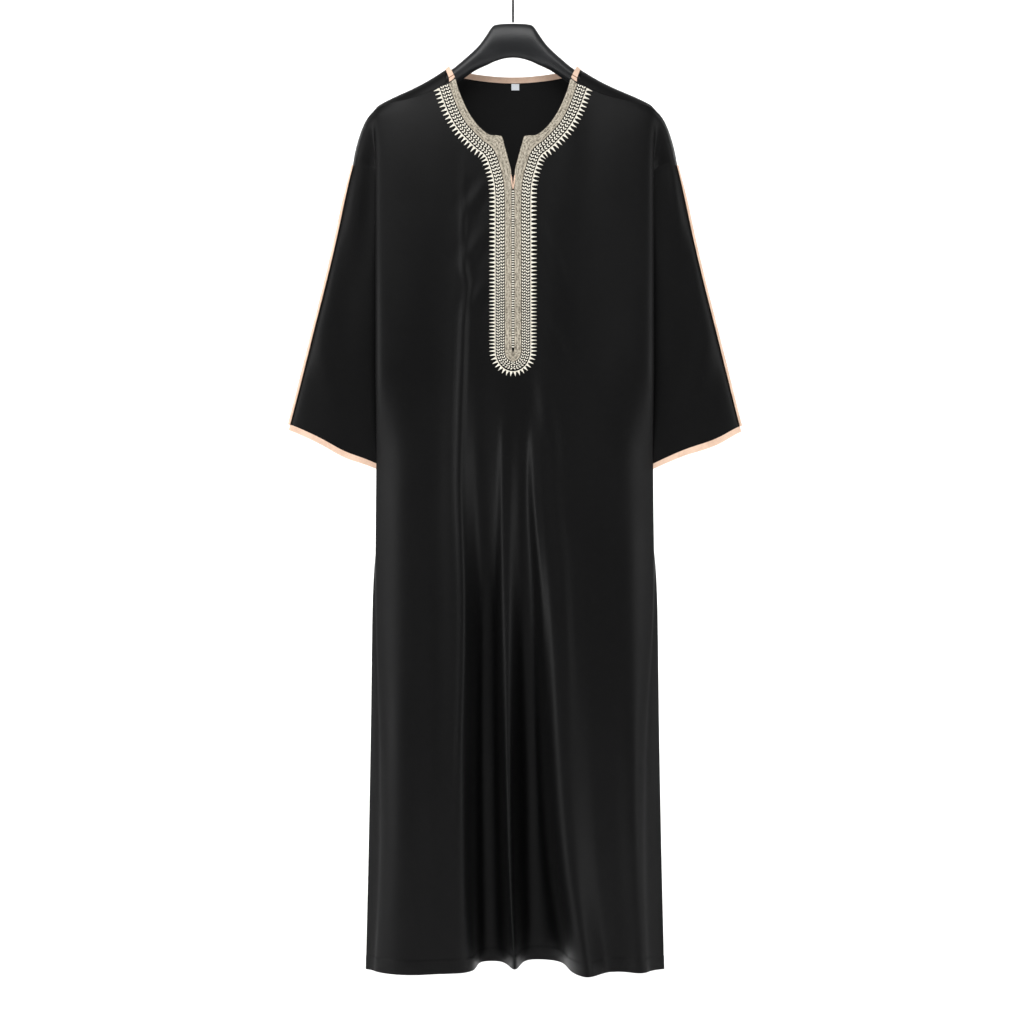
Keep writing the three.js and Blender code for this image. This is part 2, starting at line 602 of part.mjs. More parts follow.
// Outer edge of the neck binding where it crosses a shoulder, one entry for each row of the
// back panel's corner column.
const BINDING_EDGE = { out: [88.5, 90.3, 92.3, 93, 92.3], drop: [24, 11, 3, 0, 3] };
const NECK_GAPS = 3;             // the binding is thicker than the panel, so it stays further off,
const CORNER_GAPS = 5;           // in seam gaps, and further still where the edge turns

// The binding continues the back panel's neck edge towards the neck: from the right shoulder
// seam over the ridge, round the back neck and forward to the left shoulder seam.
function neckBinding(neckEdge) {
  const proud = (BINDING - CLOTH) / 2;
  const lines = neckEdge.map(({ row, point, normal }) => {
    const onShoulder = !isNeck(point.x);
    const x = onShoulder ? Math.sign(point.x) * BINDING_EDGE.out[row] : point.x;
    const drop = onShoulder ? BINDING_EDGE.drop[row]
      : ridgeZ(x) - backNeckZ(x) - BINDING_WIDTH;
    const face = row < RISE_SHARES.length ? -1 : 1;
    const gap = (row === CORNER_ROW && onShoulder ? CORNER_GAPS : NECK_GAPS) * SEAM_GAP;
    const edge = vec(x, face * fullness(drop, CHEST_FULL), ridgeZ(x) - drop);
    const edgeNormal = shoulderNormal(x, drop, face);
    return {
      points: [backFromSeam(point, edge, gap).addScaledVector(normal, proud),
        edge.addScaledVector(edgeNormal, proud)],
      normals: [normal, edgeNormal],
    };
  });
  return clothWall(lines.map(({ points }) => points), BINDING,
    { normals: lines.map(({ normals }) => normals) });
}

// Looks a place up on a panel's own facets: the point there and the way the cloth faces.
function makeProbe({ grid, normals }) {
  const corner = (r, c) => ({ point: grid[r][c], normal: normals[r][c] });
  const cells = [];
  for (let r = 0; r + 1 < grid.length; r += 1) {
    for (let c = STRIP_CELLS; c + 1 < grid[0].length - STRIP_CELLS; c += 1) {
      cells.push([corner(r, c), corner(r + 1, c), corner(r, c + 1)]);
      cells.push([corner(r, c + 1), corner(r + 1, c), corner(r + 1, c + 1)]);
    }
  }
  return (x, z) => {
    let best = null;
    for (const [a, b, c] of cells) {
      const area = (b.point.x - a.point.x) * (c.point.z - a.point.z)
        - (c.point.x - a.point.x) * (b.point.z - a.point.z);
      const u = ((x - a.point.x) * (c.point.z - a.point.z)
        - (c.point.x - a.point.x) * (z - a.point.z)) / area;
      const v = ((b.point.x - a.point.x) * (z - a.point.z)
        - (x - a.point.x) * (b.point.z - a.point.z)) / area;
      const outside = Math.max(0, -u) + Math.max(0, -v) + Math.max(0, u + v - 1);
      if (best && outside >= best.outside) continue;
      const mix = (pick) => a[pick].clone().multiplyScalar(1 - u - v)
        .addScaledVector(b[pick], u).addScaledVector(c[pick], v);
      best = { outside, point: mix('point'), normal: mix('normal').normalize() };
      if (outside === 0) break;
    }
    return best;
  };
}

// The cord line of the embroidery on one side, with the inner edge of the braid beside it.
const GUIDE = {
  out: [111, 105, 97, 82.5, 63, 42.5, 31.5, 27.7, GUIDE_HALF, GUIDE_HALF],
  z: [-160.5, -173, -191, -215, -238, -256.5, -276, -298, -325, PLACKET_END_Z],
  edge_out: [86.4, 83, 77.6, 66.4, 49, 19.5, 13.3, 4.6, 3.2, 3.2],
  edge_z: [-149, -163, -177, -197, -219.6, -233, -246, -279, -304, PLACKET_END_Z],
};
const GUIDE_CELLS = [3, 3, 3, 3, 3, 3, 3, 3, 6];
const ROUND_CELLS = 12;          // round the lower end of the placket

// Lines across the embroidery, from the left shoulder down, round the end and up to the right.
function guideLines() {
  const curve = (outName, zName) => new THREE.CatmullRomCurve3(
    GUIDE[outName].map((out, i) => vec(out, 0, GUIDE[zName][i])), false, 'centripetal');
  const cord = curve('out', 'z');
  const edge = curve('edge_out', 'edge_z');
  const parts = GUIDE.out.length - 1;
  const edgeHalf = GUIDE.edge_out.at(-1);
  const lines = [];
  GUIDE_CELLS.forEach((cells, i) => {
    for (let k = 0; k < cells; k += 1) {
      const t = (i + k / cells) / parts;
      const straight = i === parts - 1;
      const level = lerp(GUIDE.z.at(-2), PLACKET_END_Z, k / cells);
      const edgeLevel = lerp(GUIDE.edge_z.at(-2), PLACKET_END_Z, k / cells);
      const tangent = straight ? vec(0, 0, -1) : cord.getTangent(t);
      lines.push({
        cord: straight ? vec(GUIDE_HALF, 0, level) : cord.getPoint(t),
        edge: straight ? vec(edgeHalf, 0, edgeLevel) : edge.getPoint(t),
        inward: vec(tangent.z, 0, -tangent.x),
      });
    }
  });
  const flip = (p) => vec(-p.x, p.y, p.z);
  const left = lines.map((line) => ({
    cord: flip(line.cord), edge: flip(line.edge), inward: flip(line.inward),
  }));
  const round = Array.from({ length: ROUND_CELLS + 1 }, (_, k) => {
    const angle = Math.PI + (Math.PI * k) / ROUND_CELLS;
    const ray = vec(Math.cos(angle), 0, Math.sin(angle));
    const centre = vec(0, 0, PLACKET_END_Z);
    return {
      cord: centre.clone().addScaledVector(ray, GUIDE_HALF),
      edge: centre.clone().addScaledVector(ray, edgeHalf),
      inward: ray.clone().negate(),
    };
  });
  return [...left, ...round, ...lines.reverse()];
}

// Lays a flat plate of stitching on the front: places are (x, 0, z), triangles face forward.
function stitchedPlate(probe, places, triangles) {
  const seats = places.map((place) => probe(place.x, place.z));
  const outer = seats.map(({ point, normal }) => point.clone()
    .addScaledVector(normal, LAY_GAP + STITCH_HEIGHT));
  const inner = seats.map(({ point, normal }) => point.clone().addScaledVector(normal, LAY_GAP));
  return closedBody(outer, inner, triangles);
}

function stitchedBand(probe, lines) {
  const columns = lines[0].length;
  const triangles = [];
  for (let r = 0; r + 1 < lines.length; r += 1) {
    for (let c = 0; c + 1 < columns; c += 1) {
      const a = r * columns + c;
      triangles.push([a, a + columns, a + 1], [a + 1, a + columns, a + columns + 1]);
    }
  }
  return stitchedPlate(probe, lines.flat(), triangles);
}

// The thin cord with its outer row of spikes, evenly spaced along the cord.
function spikeRow(probe, lines) {
  const path = new THREE.CatmullRomCurve3(lines.map((line) => line.cord), false, 'centripetal');
  path.arcLengthDivisions = 2000;
  const count = Math.round(path.getLength() / SPIKE_PITCH);
  const places = [];
  const triangles = [];
  for (let k = 0; k <= count; k += 1) {
    const at = (share) => {
      const tangent = path.getTangentAt(share);
      const inward = vec(-tangent.z, 0, tangent.x);
      return { point: path.getPointAt(share), inward };
    };
    const here = at(k / count);
    places.push(here.point.clone().addScaledVector(here.inward, CORD_HALF));
    places.push(here.point.clone().addScaledVector(here.inward, -CORD_HALF));
    if (k === count) break;
    const middle = at((k + 0.5) / count);
    places.push(middle.point.clone().addScaledVector(middle.inward, -SPIKE_REACH));
    const [inner, outer, tip, nextInner, nextOuter] = [0, 1, 2, 3, 4].map((i) => 3 * k + i);
    triangles.push([outer, nextOuter, inner], [inner, nextOuter, nextInner]);
    triangles.push([outer, tip, nextOuter]);
  }
  return stitchedPlate(probe, places, triangles);
}

// A knotted cord down the middle of the placket.
const DOT_CORD = { half: 1.4, top_z: -309, bottom_z: -546, cells: 8 };
function dotCord(probe) {
  const { half, top_z: top, bottom_z: bottom, cells } = DOT_CORD;
  return stitchedBand(probe, Array.from({ length: cells + 1 }, (_, k) => {
    const z = lerp(top, bottom, k / cells);
    return [vec(-half, 0, z), vec(half, 0, z)];
  }));
}

const SLIT_POINT = { half: 2.6, top_z: -294.5, bottom_z: -307.5 };
function slitPoint(probe) {
  const { half, top_z: top, bottom_z: bottom } = SLIT_POINT;
  return stitchedPlate(probe, [vec(-half, 0, top), vec(0, 0, bottom), vec(half, 0, top)], [[0, 1, 2]]);
}

// A blank woven label inside the back neck.
const LABEL = { left: -2.5, right: 9.5, top_z: -140.5, bottom_z: -150, thickness: 0.6, gap: 0.7 };
function sizeLabel() {
  const corner = (x, z) => {
    const below = ridgeZ(x) - z;
    const normal = shoulderNormal(x, below, 1).negate();
    return { point: vec(x, fullness(below, CHEST_FULL), z)
      .addScaledVector(normal, CLOTH + LABEL.gap + LABEL.thickness), normal };
  };
  const rows = [LABEL.top_z, LABEL.bottom_z].map((z) => [LABEL.left, LABEL.right]
    .map((x) => corner(x, z)));
  return clothWall(rows.map((line) => line.map(({ point }) => point)), LABEL.thickness,
    { normals: rows.map((line) => line.map(({ normal }) => normal)) });
}

// Sections of the hanger along one arm, from the middle to the tip. Beyond the last height
// given for the top, the arm follows the ridge of the cloth.
const HANGER = {
  out: [0, 25, 31, 36, 43, 51, 61, 72, 91, 108, 124, 150, 168, 188, 199, 204],
  top: [HANGER_TOP_Z, -56, -59, -67, -78, -89, -99, -108.5, -125.5, -134],
  bottom: [-108, -110, -112, -114.5, -118.5, -123.5, -130, -138, -151, -161, -170, -182, -190,
    -197, -199, -198],
  depth: [9, 9.5, 10, 10.5, 11, 12, 12.5, 13, 13.5, 14, 14.5, 15, 15, 15, 13, 8],
};
const HANGER_SEAT = CLOTH + 1;   // from the ridge of the cloth down to the arm that carries it
const HANGER_TIP = 6;            // how much lower the last section is, which rounds the tip
const HANGER_SIDES = 12;

function hangerRing(index, side) {
  const read = (column) => HANGER[column][index];
  const isTip = index === HANGER.out.length - 1;
  const seat = readTable(RIDGE, 'out', 'z', read('out')) - HANGER_SEAT - (isTip ? HANGER_TIP : 0);
  const top = read('top') ?? seat;
  const middle = (top + read('bottom')) / 2;
  const half = (top - read('bottom')) / 2;
  return Array.from({ length: HANGER_SIDES }, (_, k) => {
    const angle = (2 * Math.PI * k) / HANGER_SIDES;
    return vec(side * read('out') + sideShift(read('out')), read('depth') * Math.sin(angle),
      middle + half * Math.cos(angle));
  });
}

function hangerBody() {
  const last = HANGER.out.length - 1;
  const rings = [];
  for (let i = last; i > 0; i -= 1) rings.push(hangerRing(i, -1));
  for (let i = 0; i <= last; i += 1) rings.push(hangerRing(i, 1));
  const faces = [];
  const at = (r, k) => r * HANGER_SIDES + (k % HANGER_SIDES);
  for (let r = 0; r + 1 < rings.length; r += 1) {
    for (let k = 0; k < HANGER_SIDES; k += 1) {
      faces.push(at(r, k), at(r + 1, k), at(r, k + 1));
      faces.push(at(r, k + 1), at(r + 1, k), at(r + 1, k + 1));
    }
  }
  for (let k = 1; k + 1 < HANGER_SIDES; k += 1) {
    faces.push(at(0, 0), at(0, k), at(0, k + 1));
    faces.push(at(rings.length - 1, 0), at(rings.length - 1, k + 1), at(rings.length - 1, k));
  }
  const geometry = new THREE.BufferGeometry();
  const positions = rings.flat().flatMap((p) => [p.x, p.y, p.z]);
  geometry.setAttribute('position', new THREE.Float32BufferAttribute(positions, 3));
  geometry.setIndex(faces);
  return geometry;
}

// The wire hook stands edge-on to the garment: its crook lies in the plane across the rail.
// The stem is given from the hanger up, then the crook as angles from level at the back.
const HOOK = {
  stem_y: [0, 0.5, 5, 13.5],
  stem_z: [HANGER_TOP_Z + SEAM_GAP, -49, -42, -34],
  crook_from: -0.45,
  crook_to: Math.PI + 0.6,
  crook_points: 10,
  rings: 34,
  quarter_cells: 4,
};
function hookWire() {
  const radius = HOOK_INNER + HOOK_WIRE;
  const path = HOOK.stem_y.map((y, i) => vec(0, y, HOOK.stem_z[i]));
  for (let k = 0; k < HOOK.crook_points; k += 1) {
    const angle = lerp(HOOK.crook_from, HOOK.crook_to, k / (HOOK.crook_points - 1));
    path.push(vec(0, radius * Math.cos(angle), radius * Math.sin(angle) - HOOK_INNER));
  }
  const section = new THREE.Shape();
  section.absarc(0, 0, HOOK_WIRE, 0, 2 * Math.PI);
  const geometry = new THREE.ExtrudeGeometry(section, {
    steps: HOOK.rings, curveSegments: HOOK.quarter_cells, bevelEnabled: false,
    extrudePath: new THREE.CatmullRomCurve3(path, false, 'centripetal'),
  });
  geometry.deleteAttribute('normal');
  geometry.deleteAttribute('uv');
  return mergeVertices(geometry, 1e-3);
}

const front = frontGrid();
const back = backGrid();
addPiece('front', clothWall(front.grid, CLOTH, { normals: front.normals }), 'cloth');
addPiece('back', clothWall(back.grid, CLOTH, { normals: back.normals, isOpen: back.isOpen }), 'cloth');
for (const [suffix, side] of [['l', -1], ['r', 1]]) {
  addPiece(`sleeve_${suffix}`, sleeveWall(side), 'cloth');
  addPiece(`cuff_binding_${suffix}`, cuffBinding(side), 'satin');
  addPiece(`sleeve_tape_${suffix}`, sleeveTape(side), 'satin');
}
addPiece('neck_binding', neckBinding(back.neckEdge), 'satin');

const probe = makeProbe(front);
const lines = guideLines();
const offset = (line, distance) => line.cord.clone().addScaledVector(line.inward, distance);
addPiece('neck_braid', stitchedBand(probe, lines.map((line) => {
  const start = offset(line, BRAID_START);
  return [start, start.clone().lerp(line.edge, 0.5), line.edge];
})), 'thread_grey');
for (const [name, [near, far]] of Object.entries(ROW_BANDS)) {
  const band = lines.map((line) => [offset(line, near), offset(line, far)]);
  addPiece(name, stitchedBand(probe, band), 'thread_light');
}
addPiece('spike_row', spikeRow(probe, lines), 'thread_light');
addPiece('dot_cord', dotCord(probe), 'thread_light');
addPiece('slit_point', slitPoint(probe), 'satin');
addPiece('size_label', sizeLabel(), 'label');
addPiece('hanger', hangerBody(), 'hanger');
addPiece('hook', hookWire(), 'wire');

export default model;
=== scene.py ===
# %% [markdown]
# # A kaftan on a hanger, dressed around its CAD frame
# A kaftan is a long, straight robe. This one hangs from a moulded suit hanger, so everything
# that the eye reads comes from how its cloth falls: deep flutes down the skirt, slack creases
# beside the stiff stitched placket, and flat sleeves. The imported model gives the true sizes,
# and each step below dresses one piece of it. The frame is loaded first, because every piece
# rides on it.

# %% Load the frame
import math
import bmesh
import bpy
from mathutils import Matrix, Vector, geometry, noise
from mathutils.bvhtree import BVHTree
from mathutils.kdtree import KDTree


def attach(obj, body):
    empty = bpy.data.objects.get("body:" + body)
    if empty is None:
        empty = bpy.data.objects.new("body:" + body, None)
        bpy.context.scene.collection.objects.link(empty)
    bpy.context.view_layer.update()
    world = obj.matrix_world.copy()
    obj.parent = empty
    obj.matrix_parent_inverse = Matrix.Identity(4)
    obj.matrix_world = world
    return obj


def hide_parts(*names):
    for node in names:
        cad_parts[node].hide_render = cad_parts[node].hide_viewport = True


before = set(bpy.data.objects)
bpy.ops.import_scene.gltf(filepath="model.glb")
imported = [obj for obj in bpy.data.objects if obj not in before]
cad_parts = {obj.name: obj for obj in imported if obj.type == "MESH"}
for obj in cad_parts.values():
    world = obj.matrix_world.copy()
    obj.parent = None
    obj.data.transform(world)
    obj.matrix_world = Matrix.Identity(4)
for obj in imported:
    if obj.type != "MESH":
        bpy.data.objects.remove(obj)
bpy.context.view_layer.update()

print("nodes in the frame:", len(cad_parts))

# %% [markdown]
# ## The camera
# The photograph was taken from straight in front with a fairly long lens. At 2.9 m the hem
# seen through its folds and the size of the near sleeves both come out right. The image is
# square, and 1.536 m of the object's middle plane fills its width, which sets the lens.

# %% Camera
MM = 0.001
VIEW_CENTRE = Vector((-0.0015, 0.0, -0.789))
VIEW_DISTANCE = 2.9
VIEW_WIDTH = 1.536
SENSOR = 36.0

camera = bpy.data.cameras.new("camera")
camera.sensor_width = SENSOR
camera.lens = SENSOR * VIEW_DISTANCE / VIEW_WIDTH
camera_object = bpy.data.objects.new("camera", camera)
camera_object.location = VIEW_CENTRE - Vector((0, VIEW_DISTANCE, 0))
camera_object.rotation_euler = (math.radians(90), 0, 0)
bpy.context.collection.objects.link(camera_object)
bpy.context.scene.camera = camera_object
print("lens", round(camera.lens, 2), "mm")

# %% [markdown]
# ## Writing shader maths in plain expressions
# A procedural finish is mostly sums: bands, stitches, threads. Blender does those with Math
# nodes, which are slow to read when they are wired by hand. `Wire` holds one socket and turns
# `a * 3 + b` into the nodes, also when the number comes first. `Finish` owns one material,
# sets its steady values on the shader itself, and has one method that adds every other node.

# %% Shader helpers
class Wire:
    """One output socket, with maths on it written as Python."""

    def __init__(self, finish, socket):
        self.finish, self.socket = finish, socket

    def math(self, operation, *others):
        return self.finish.node("Math", {"operation": operation},
                                dict(enumerate((self, *others))))

    def __add__(self, other): return self.math("ADD", other)
    def __sub__(self, other): return self.math("SUBTRACT", other)
    def __mul__(self, other): return self.math("MULTIPLY", other)
    def __neg__(self): return self.math("MULTIPLY", -1.0)
    def __radd__(self, other): return self + other
    def __rmul__(self, other): return self * other
    def __rsub__(self, other): return -self + other
    def sin(self): return self.math("SINE")
    def abs(self): return self.math("ABSOLUTE")
    def low(self, other): return self.math("MINIMUM", other)

    def ramp(self, start, end, low=0.0, high=1.0):
        """A smooth rise from low to high while this value goes from start to end."""
        return self.finish.node("MapRange", {"interpolation_type": "SMOOTHSTEP"},
                                {0: self, 1: start, 2: end, 3: low, 4: high})


class Finish:
    """One procedural material around a Principled shader."""

    def __init__(self, name, **steady):
        self.material = bpy.data.materials.new(name)
        self.material.use_nodes = True
        self.tree = self.material.node_tree
        self.shader = self.tree.nodes["Principled BSDF"]
        for socket, value in steady.items():
            self.shader.inputs[socket.replace("_", " ")].default_value = value
        print("finish:", name)

    def node(self, kind, settings, inputs, output=0):
        """Adds a node: its settings first, then values or wires for its sockets."""
        node = self.tree.nodes.new("ShaderNode" + kind)
        for key, value in settings.items():
            setattr(node, key, value)
        for key, value in inputs.items():
            if isinstance(value, Wire):
                self.tree.links.new(value.socket, node.inputs[key])
            else:
                node.inputs[key].default_value = value
        return Wire(self, node.outputs[output])

    def colour(self, share, first, second):
        """A mix of two colours, by a wire that goes from 0 to 1."""
        first, second = [c if isinstance(c, Wire) else (*c, 1.0) for c in (first, second)]
        return self.node("Mix", {"data_type": "RGBA"}, {0: share, 6: first, 7: second}, 2)

    def place(self, stretch=(1, 1, 1)):
        """The object's own coordinates, stretched."""
        spot = self.node("TexCoord", {}, {}, 3)
        return self.node("Mapping", {}, {0: spot, 3: stretch})

    def speckle(self, scale, stretch=(1, 1, 1), detail=2.0, roughness=0.5):
        """Soft noise of about 1/scale metres across, pulled out by stretch."""
        return self.node("TexNoise", {}, {"Vector": self.place(stretch), "Scale": scale,
                                          "Detail": detail, "Roughness": roughness})

    def carried(self, name):
        """A number that the mesh carries for this finish, such as a count of threads."""
        return self.node("Attribute", {"attribute_name": name}, {}, 2)

    def set(self, socket, wire):
        self.tree.links.new(wire.socket, self.shader.inputs[socket])

    def bump(self, height, depth, strength=1.0):
        """Relief whose height wire goes from 0 to 1, depth metres deep."""
        self.set("Normal", self.node("Bump", {}, {"Strength": strength, "Distance": depth,
                                                  "Height": height}))


# %% [markdown]
# ## The black cloth
# The cloth is a thin crepe-backed satin: nearly black, with a broad dull sheen along each
# fold. An even black would look like plastic, so two things break it up. The crepe's fine
# pebbles are drawn out along the cloth like its threads, and slow patches of roughness stand
# for places that handling has pressed flat.

# %% Cloth finish
THREADS_PER_M = 1500.0


def make_cloth(name):
    cloth = Finish(name, Specular_IOR_Level=0.145, Sheen_Weight=0.01, Sheen_Roughness=0.45)
    crepe = cloth.speckle(THREADS_PER_M, (1, 1, 0.32), 3.0, 0.6)
    pressed = cloth.speckle(9.0, (1, 1, 0.45), 3.0, 0.55)
    cloth.set("Base Color", cloth.colour(crepe.ramp(0.3, 0.75), (0.0008, 0.0008, 0.0009),
                                         (0.0026, 0.0026, 0.0028)))
    cloth.set("Roughness", pressed.ramp(0.25, 0.75, 0.37, 0.46) + crepe * 0.06)
    cloth.bump(crepe, 0.00025, 0.5)
    return cloth.material


cloth_finish = make_cloth("black_crepe_satin")

# %% [markdown]
# ## The satin tape
# Neck, cuffs and sleeves are bound in a peach satin tape. Satin shows long floats of thread,
# so the tape has fine lines, a dull shine and a slightly deeper tone in places. The two ends of
# the neck tape are sewn down with a dark line of machine stitches.

# %% Tape finish
TAPE_LIGHT = (0.84, 0.61, 0.47)
TAPE_DEEP = (0.62, 0.42, 0.31)
STITCH_DARK = (0.20, 0.10, 0.06)
# the stitches across the neck tape lie where z + lean * |x| has this value, in metres
STITCH_LEAN, NECK_STITCHES = 0.6, -0.0855


def make_tape(name, stitched=None):
    """Satin tape, with a line of machine stitches across it if stitched gives its height."""
    tape = Finish(name, Specular_IOR_Level=0.15)
    floats = tape.speckle(2600.0, (1, 1, 0.2), 2.0, 0.5)
    slow = tape.speckle(60.0, (1, 1, 1), 2.0, 0.5)
    tone = slow.ramp(0.3, 0.7) * 0.45 + floats.ramp(0.3, 0.7) * 0.55
    colour = tape.colour(tone, TAPE_DEEP, TAPE_LIGHT)
    if stitched:
        spot = tape.place()
        out, up = (tape.node("SeparateXYZ", {}, {0: spot}, axis) for axis in (0, 2))
        line = (up + out.abs() * STITCH_LEAN - stitched).abs().ramp(0.0005, 0.0011)
        colour = tape.colour(line, STITCH_DARK, colour)
    tape.set("Base Color", colour)
    tape.set("Roughness", floats.ramp(0.2, 0.8, 0.55, 0.7))
    tape.bump(floats, 0.00018, 0.5)
    return tape.material


tape_finish = make_tape("peach_satin_tape")
neck_tape_finish = make_tape("peach_neck_tape", NECK_STITCHES)

# %% [markdown]
# ## Embroidery thread
# Machine embroidery is laid in close, shiny threads of rayon. The light thread makes leaves
# and spikes, and the grey thread fills the braid. Each stitch carries a number, `thread`, that
# runs across it in whole threads, so the fine lines follow the stitch instead of the world,
# and a second number that is painted shade: it darkens the thread's colour where the stitch
# sinks into the cloth, and in the braid it also carries the threads' own uneven tone.

# %% Thread finishes
def make_thread(name, dark, light, rough):
    thread = Finish(name, Specular_IOR_Level=0.5, Sheen_Weight=0.1, Sheen_Roughness=0.35)
    lines = (thread.carried("thread") * (2 * math.pi)).sin() * 0.5 + 0.5
    fuzz = thread.speckle(1400.0, (1, 1, 1), 2.0, 0.6)
    patch = thread.speckle(160.0, (1, 1, 1), 2.0, 0.5)
    # the mesh's second number is painted shade, darker where a stitch sinks into the cloth
    tone = lines * 0.2 + fuzz * 0.2 + patch.ramp(0.3, 0.7) * 0.15 + thread.carried("painted_shade_and_tone") * 0.7
    thread.set("Base Color", thread.colour(tone.low(1.0), dark, light))
    thread.set("Roughness", fuzz.ramp(0.2, 0.8, rough, rough + 0.14))
    thread.bump(lines * 0.7 + fuzz * 0.3, 0.00022, 0.7)
    return thread.material


light_thread = make_thread("cream_embroidery_thread", (0.56, 0.47, 0.34), (0.98, 0.95, 0.84), 0.36)
grey_thread = make_thread("grey_embroidery_thread", (0.14, 0.12, 0.087), (0.52, 0.465, 0.37), 0.45)

# %% [markdown]
# ## Woven label, moulded plastic and wire
# The label is a small woven slip, left blank. The hanger is black moulded plastic with the
# faint orange-peel of its mould and rubbed, satin patches. The hook is lacquered wire.

# %% Label, plastic and wire finishes
def make_label():
    label = Finish("white_woven_label", Specular_IOR_Level=0.35, Sheen_Weight=0.1)
    weave = label.speckle(2400.0, (1, 1, 2.5), 2.0, 0.5)
    label.set("Base Color", label.colour(weave.ramp(0.3, 0.7), (0.66, 0.69, 0.74),
                                         (0.82, 0.85, 0.90)))
    label.set("Roughness", weave.ramp(0.2, 0.8, 0.55, 0.7))
    label.bump(weave, 0.0002, 0.5)
    return label.material


def make_plastic():
    plastic = Finish("black_moulded_plastic", Specular_IOR_Level=0.3)
    peel = plastic.speckle(420.0, (1, 1, 1), 2.0, 0.5)
    rub = plastic.speckle(26.0, (0.6, 1, 1), 4.0, 0.6)
    plastic.set("Base Color", plastic.colour(rub.ramp(0.35, 0.7), (0.012, 0.0125, 0.0135),
                                             (0.017, 0.0175, 0.019)))
    plastic.set("Roughness", rub.ramp(0.3, 0.75, 0.30, 0.42))
    plastic.bump(peel, 0.0003, 0.25)
    return plastic.material


def make_wire():
    wire = Finish("black_lacquered_wire", Specular_IOR_Level=0.25)
    wear = wire.speckle(300.0, (1, 1, 0.4), 3.0, 0.6)
    wire.set("Base Color", wire.colour(wear.ramp(0.55, 0.8), (0.006, 0.006, 0.007),
                                       (0.02, 0.02, 0.021)))
    wire.set("Roughness", wear.ramp(0.3, 0.8, 0.38, 0.5))
    wire.bump(wear, 0.0001, 0.3)
    return wire.material


label_finish, plastic_finish, wire_finish = make_label(), make_plastic(), make_wire()

# %% [markdown]
# ## Keeping a piece
# Every finished piece needs the same last steps: it takes its finish, is shaded smooth, rides
# on the one body, and hides the CAD nodes that it stands for.

# %% Add a piece
def add_piece(name, mesh, finish, nodes=()):
    """A finished mesh becomes a piece of the object."""
    piece = bpy.data.objects.new(name, mesh)
    bpy.context.collection.objects.link(piece)
    mesh.materials.clear()
    mesh.materials.append(finish)
    mesh.polygons.foreach_set("use_smooth", [True] * len(mesh.polygons))
    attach(piece, "root")
    if nodes:
        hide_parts(*nodes)
    print(name, len(mesh.polygons), "faces")
    return piece


# %% [markdown]
# ## Smooth walls from the frame's own
# The CAD pieces are closed walls that already hang in the right folds, but they are built of
# flat facets. Real cloth curves. Each is copied, its loose triangles are joined to quads, and a
# subdivision surface rounds it. The thin rim is creased, so an edge stays a crisp line that
# follows the same curve, and the shading stops there too, or the edge would shine.

# %% Shell builder
WELD = 0.02 * MM
RIM_LIMIT = 4.2 * MM
RIM_TURN = math.radians(50)
RIM_CORNER = math.radians(40)
SHARP = math.radians(35)


def by_length(face):
    return sorted(face.edges, key=lambda edge: edge.calc_length())


def walls_of(nodes):
    """Frame walls in one bmesh; each face keeps the number of its node."""
    bm = bmesh.new()
    panel = bm.faces.layers.int.new("panel")
    for number, node in enumerate(nodes):
        known = len(bm.faces)
        bm.from_mesh(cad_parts[node].data)
        bm.faces.ensure_lookup_table()
        for face in bm.faces[known:]:
            face[panel] = number
    bmesh.ops.remove_doubles(bm, verts=bm.verts, dist=WELD)
    return bm, panel


def join_quads(bm):
    bmesh.ops.join_triangles(bm, faces=bm.faces, angle_face_threshold=math.pi,
                             angle_shape_threshold=math.pi, topology_influence=1.3)


def is_rim(face):
    """A rim face is narrow, and meets a wall at a sharp angle on both of its long sides."""
    if len(face.verts) != 4:
        return False
    sides = by_length(face)
    return sides[1].calc_length() < RIM_LIMIT and all(
        edge.calc_face_angle(0.0) > RIM_TURN for edge in sides[2:])


def crease_rims(bm):
    crease = bm.edges.layers.float.new("crease_edge")
    for face in filter(is_rim, bm.faces):
        sides = by_length(face)
        corners = [edge for edge in sides[:2] if edge.calc_face_angle(0.0) > RIM_CORNER]
        for edge in sides[2:] + corners:
            edge[crease] = 1.0
    return crease


def smoothed(bm, name, levels):
    """The subdivision surface of a bmesh, as a bmesh again."""
    rough = bpy.data.meshes.new(name + "_rough")
    bm.to_mesh(rough)
    bm.free()
    holder = bpy.data.objects.new(name + "_rough", rough)
    bpy.context.collection.objects.link(holder)
    smooth = holder.modifiers.new("smooth", "SUBSURF")
    smooth.levels = smooth.render_levels = levels
    shown = holder.evaluated_get(bpy.context.evaluated_depsgraph_get())
    finished = bmesh.new()
    finished.from_mesh(shown.to_mesh())
    bpy.data.objects.remove(holder)
    for edge in finished.edges:
        edge.smooth = edge.calc_face_angle(0.0) < SHARP
    return finished


def shift_points(bm, move):
    bm.normal_update()
    shifts = [move(vert.co, vert.normal) for vert in bm.verts]
    for vert, shift in zip(bm.verts, shifts):
        vert.co += shift


def shell_mesh(node, levels, move=None):
    """A smooth copy of a CAD node's wall. move gives how far each point shifts."""
    bm, _ = walls_of([node])
    join_quads(bm)
    crease_rims(bm)
    bm = smoothed(bm, node, levels)
    if move:
        shift_points(bm, move)
    mesh = bpy.data.meshes.new(node)
    bm.to_mesh(mesh)
    bm.free()
    return mesh


# %% [markdown]
# ## Sewing the panels together
# Front, back and sleeves are separate walls in the frame, a fraction of a millimetre apart. A
# sewn garment bends through its seams, so the four are joined before they are smoothed: the
# narrow rims along the seams go, the points on both sides meet, and one subdivision surface
# rounds the whole garment. Side and shoulder seams stay a pressed edge, an armhole hardly shows.

# %% Sew
PANELS = ("front", "back", "sleeve_l", "sleeve_r")
SEAM_REACH = 0.9 * MM
WALL_LIMIT = 2.4 * MM
PRESSED, SOFT = 1.0, 0.12


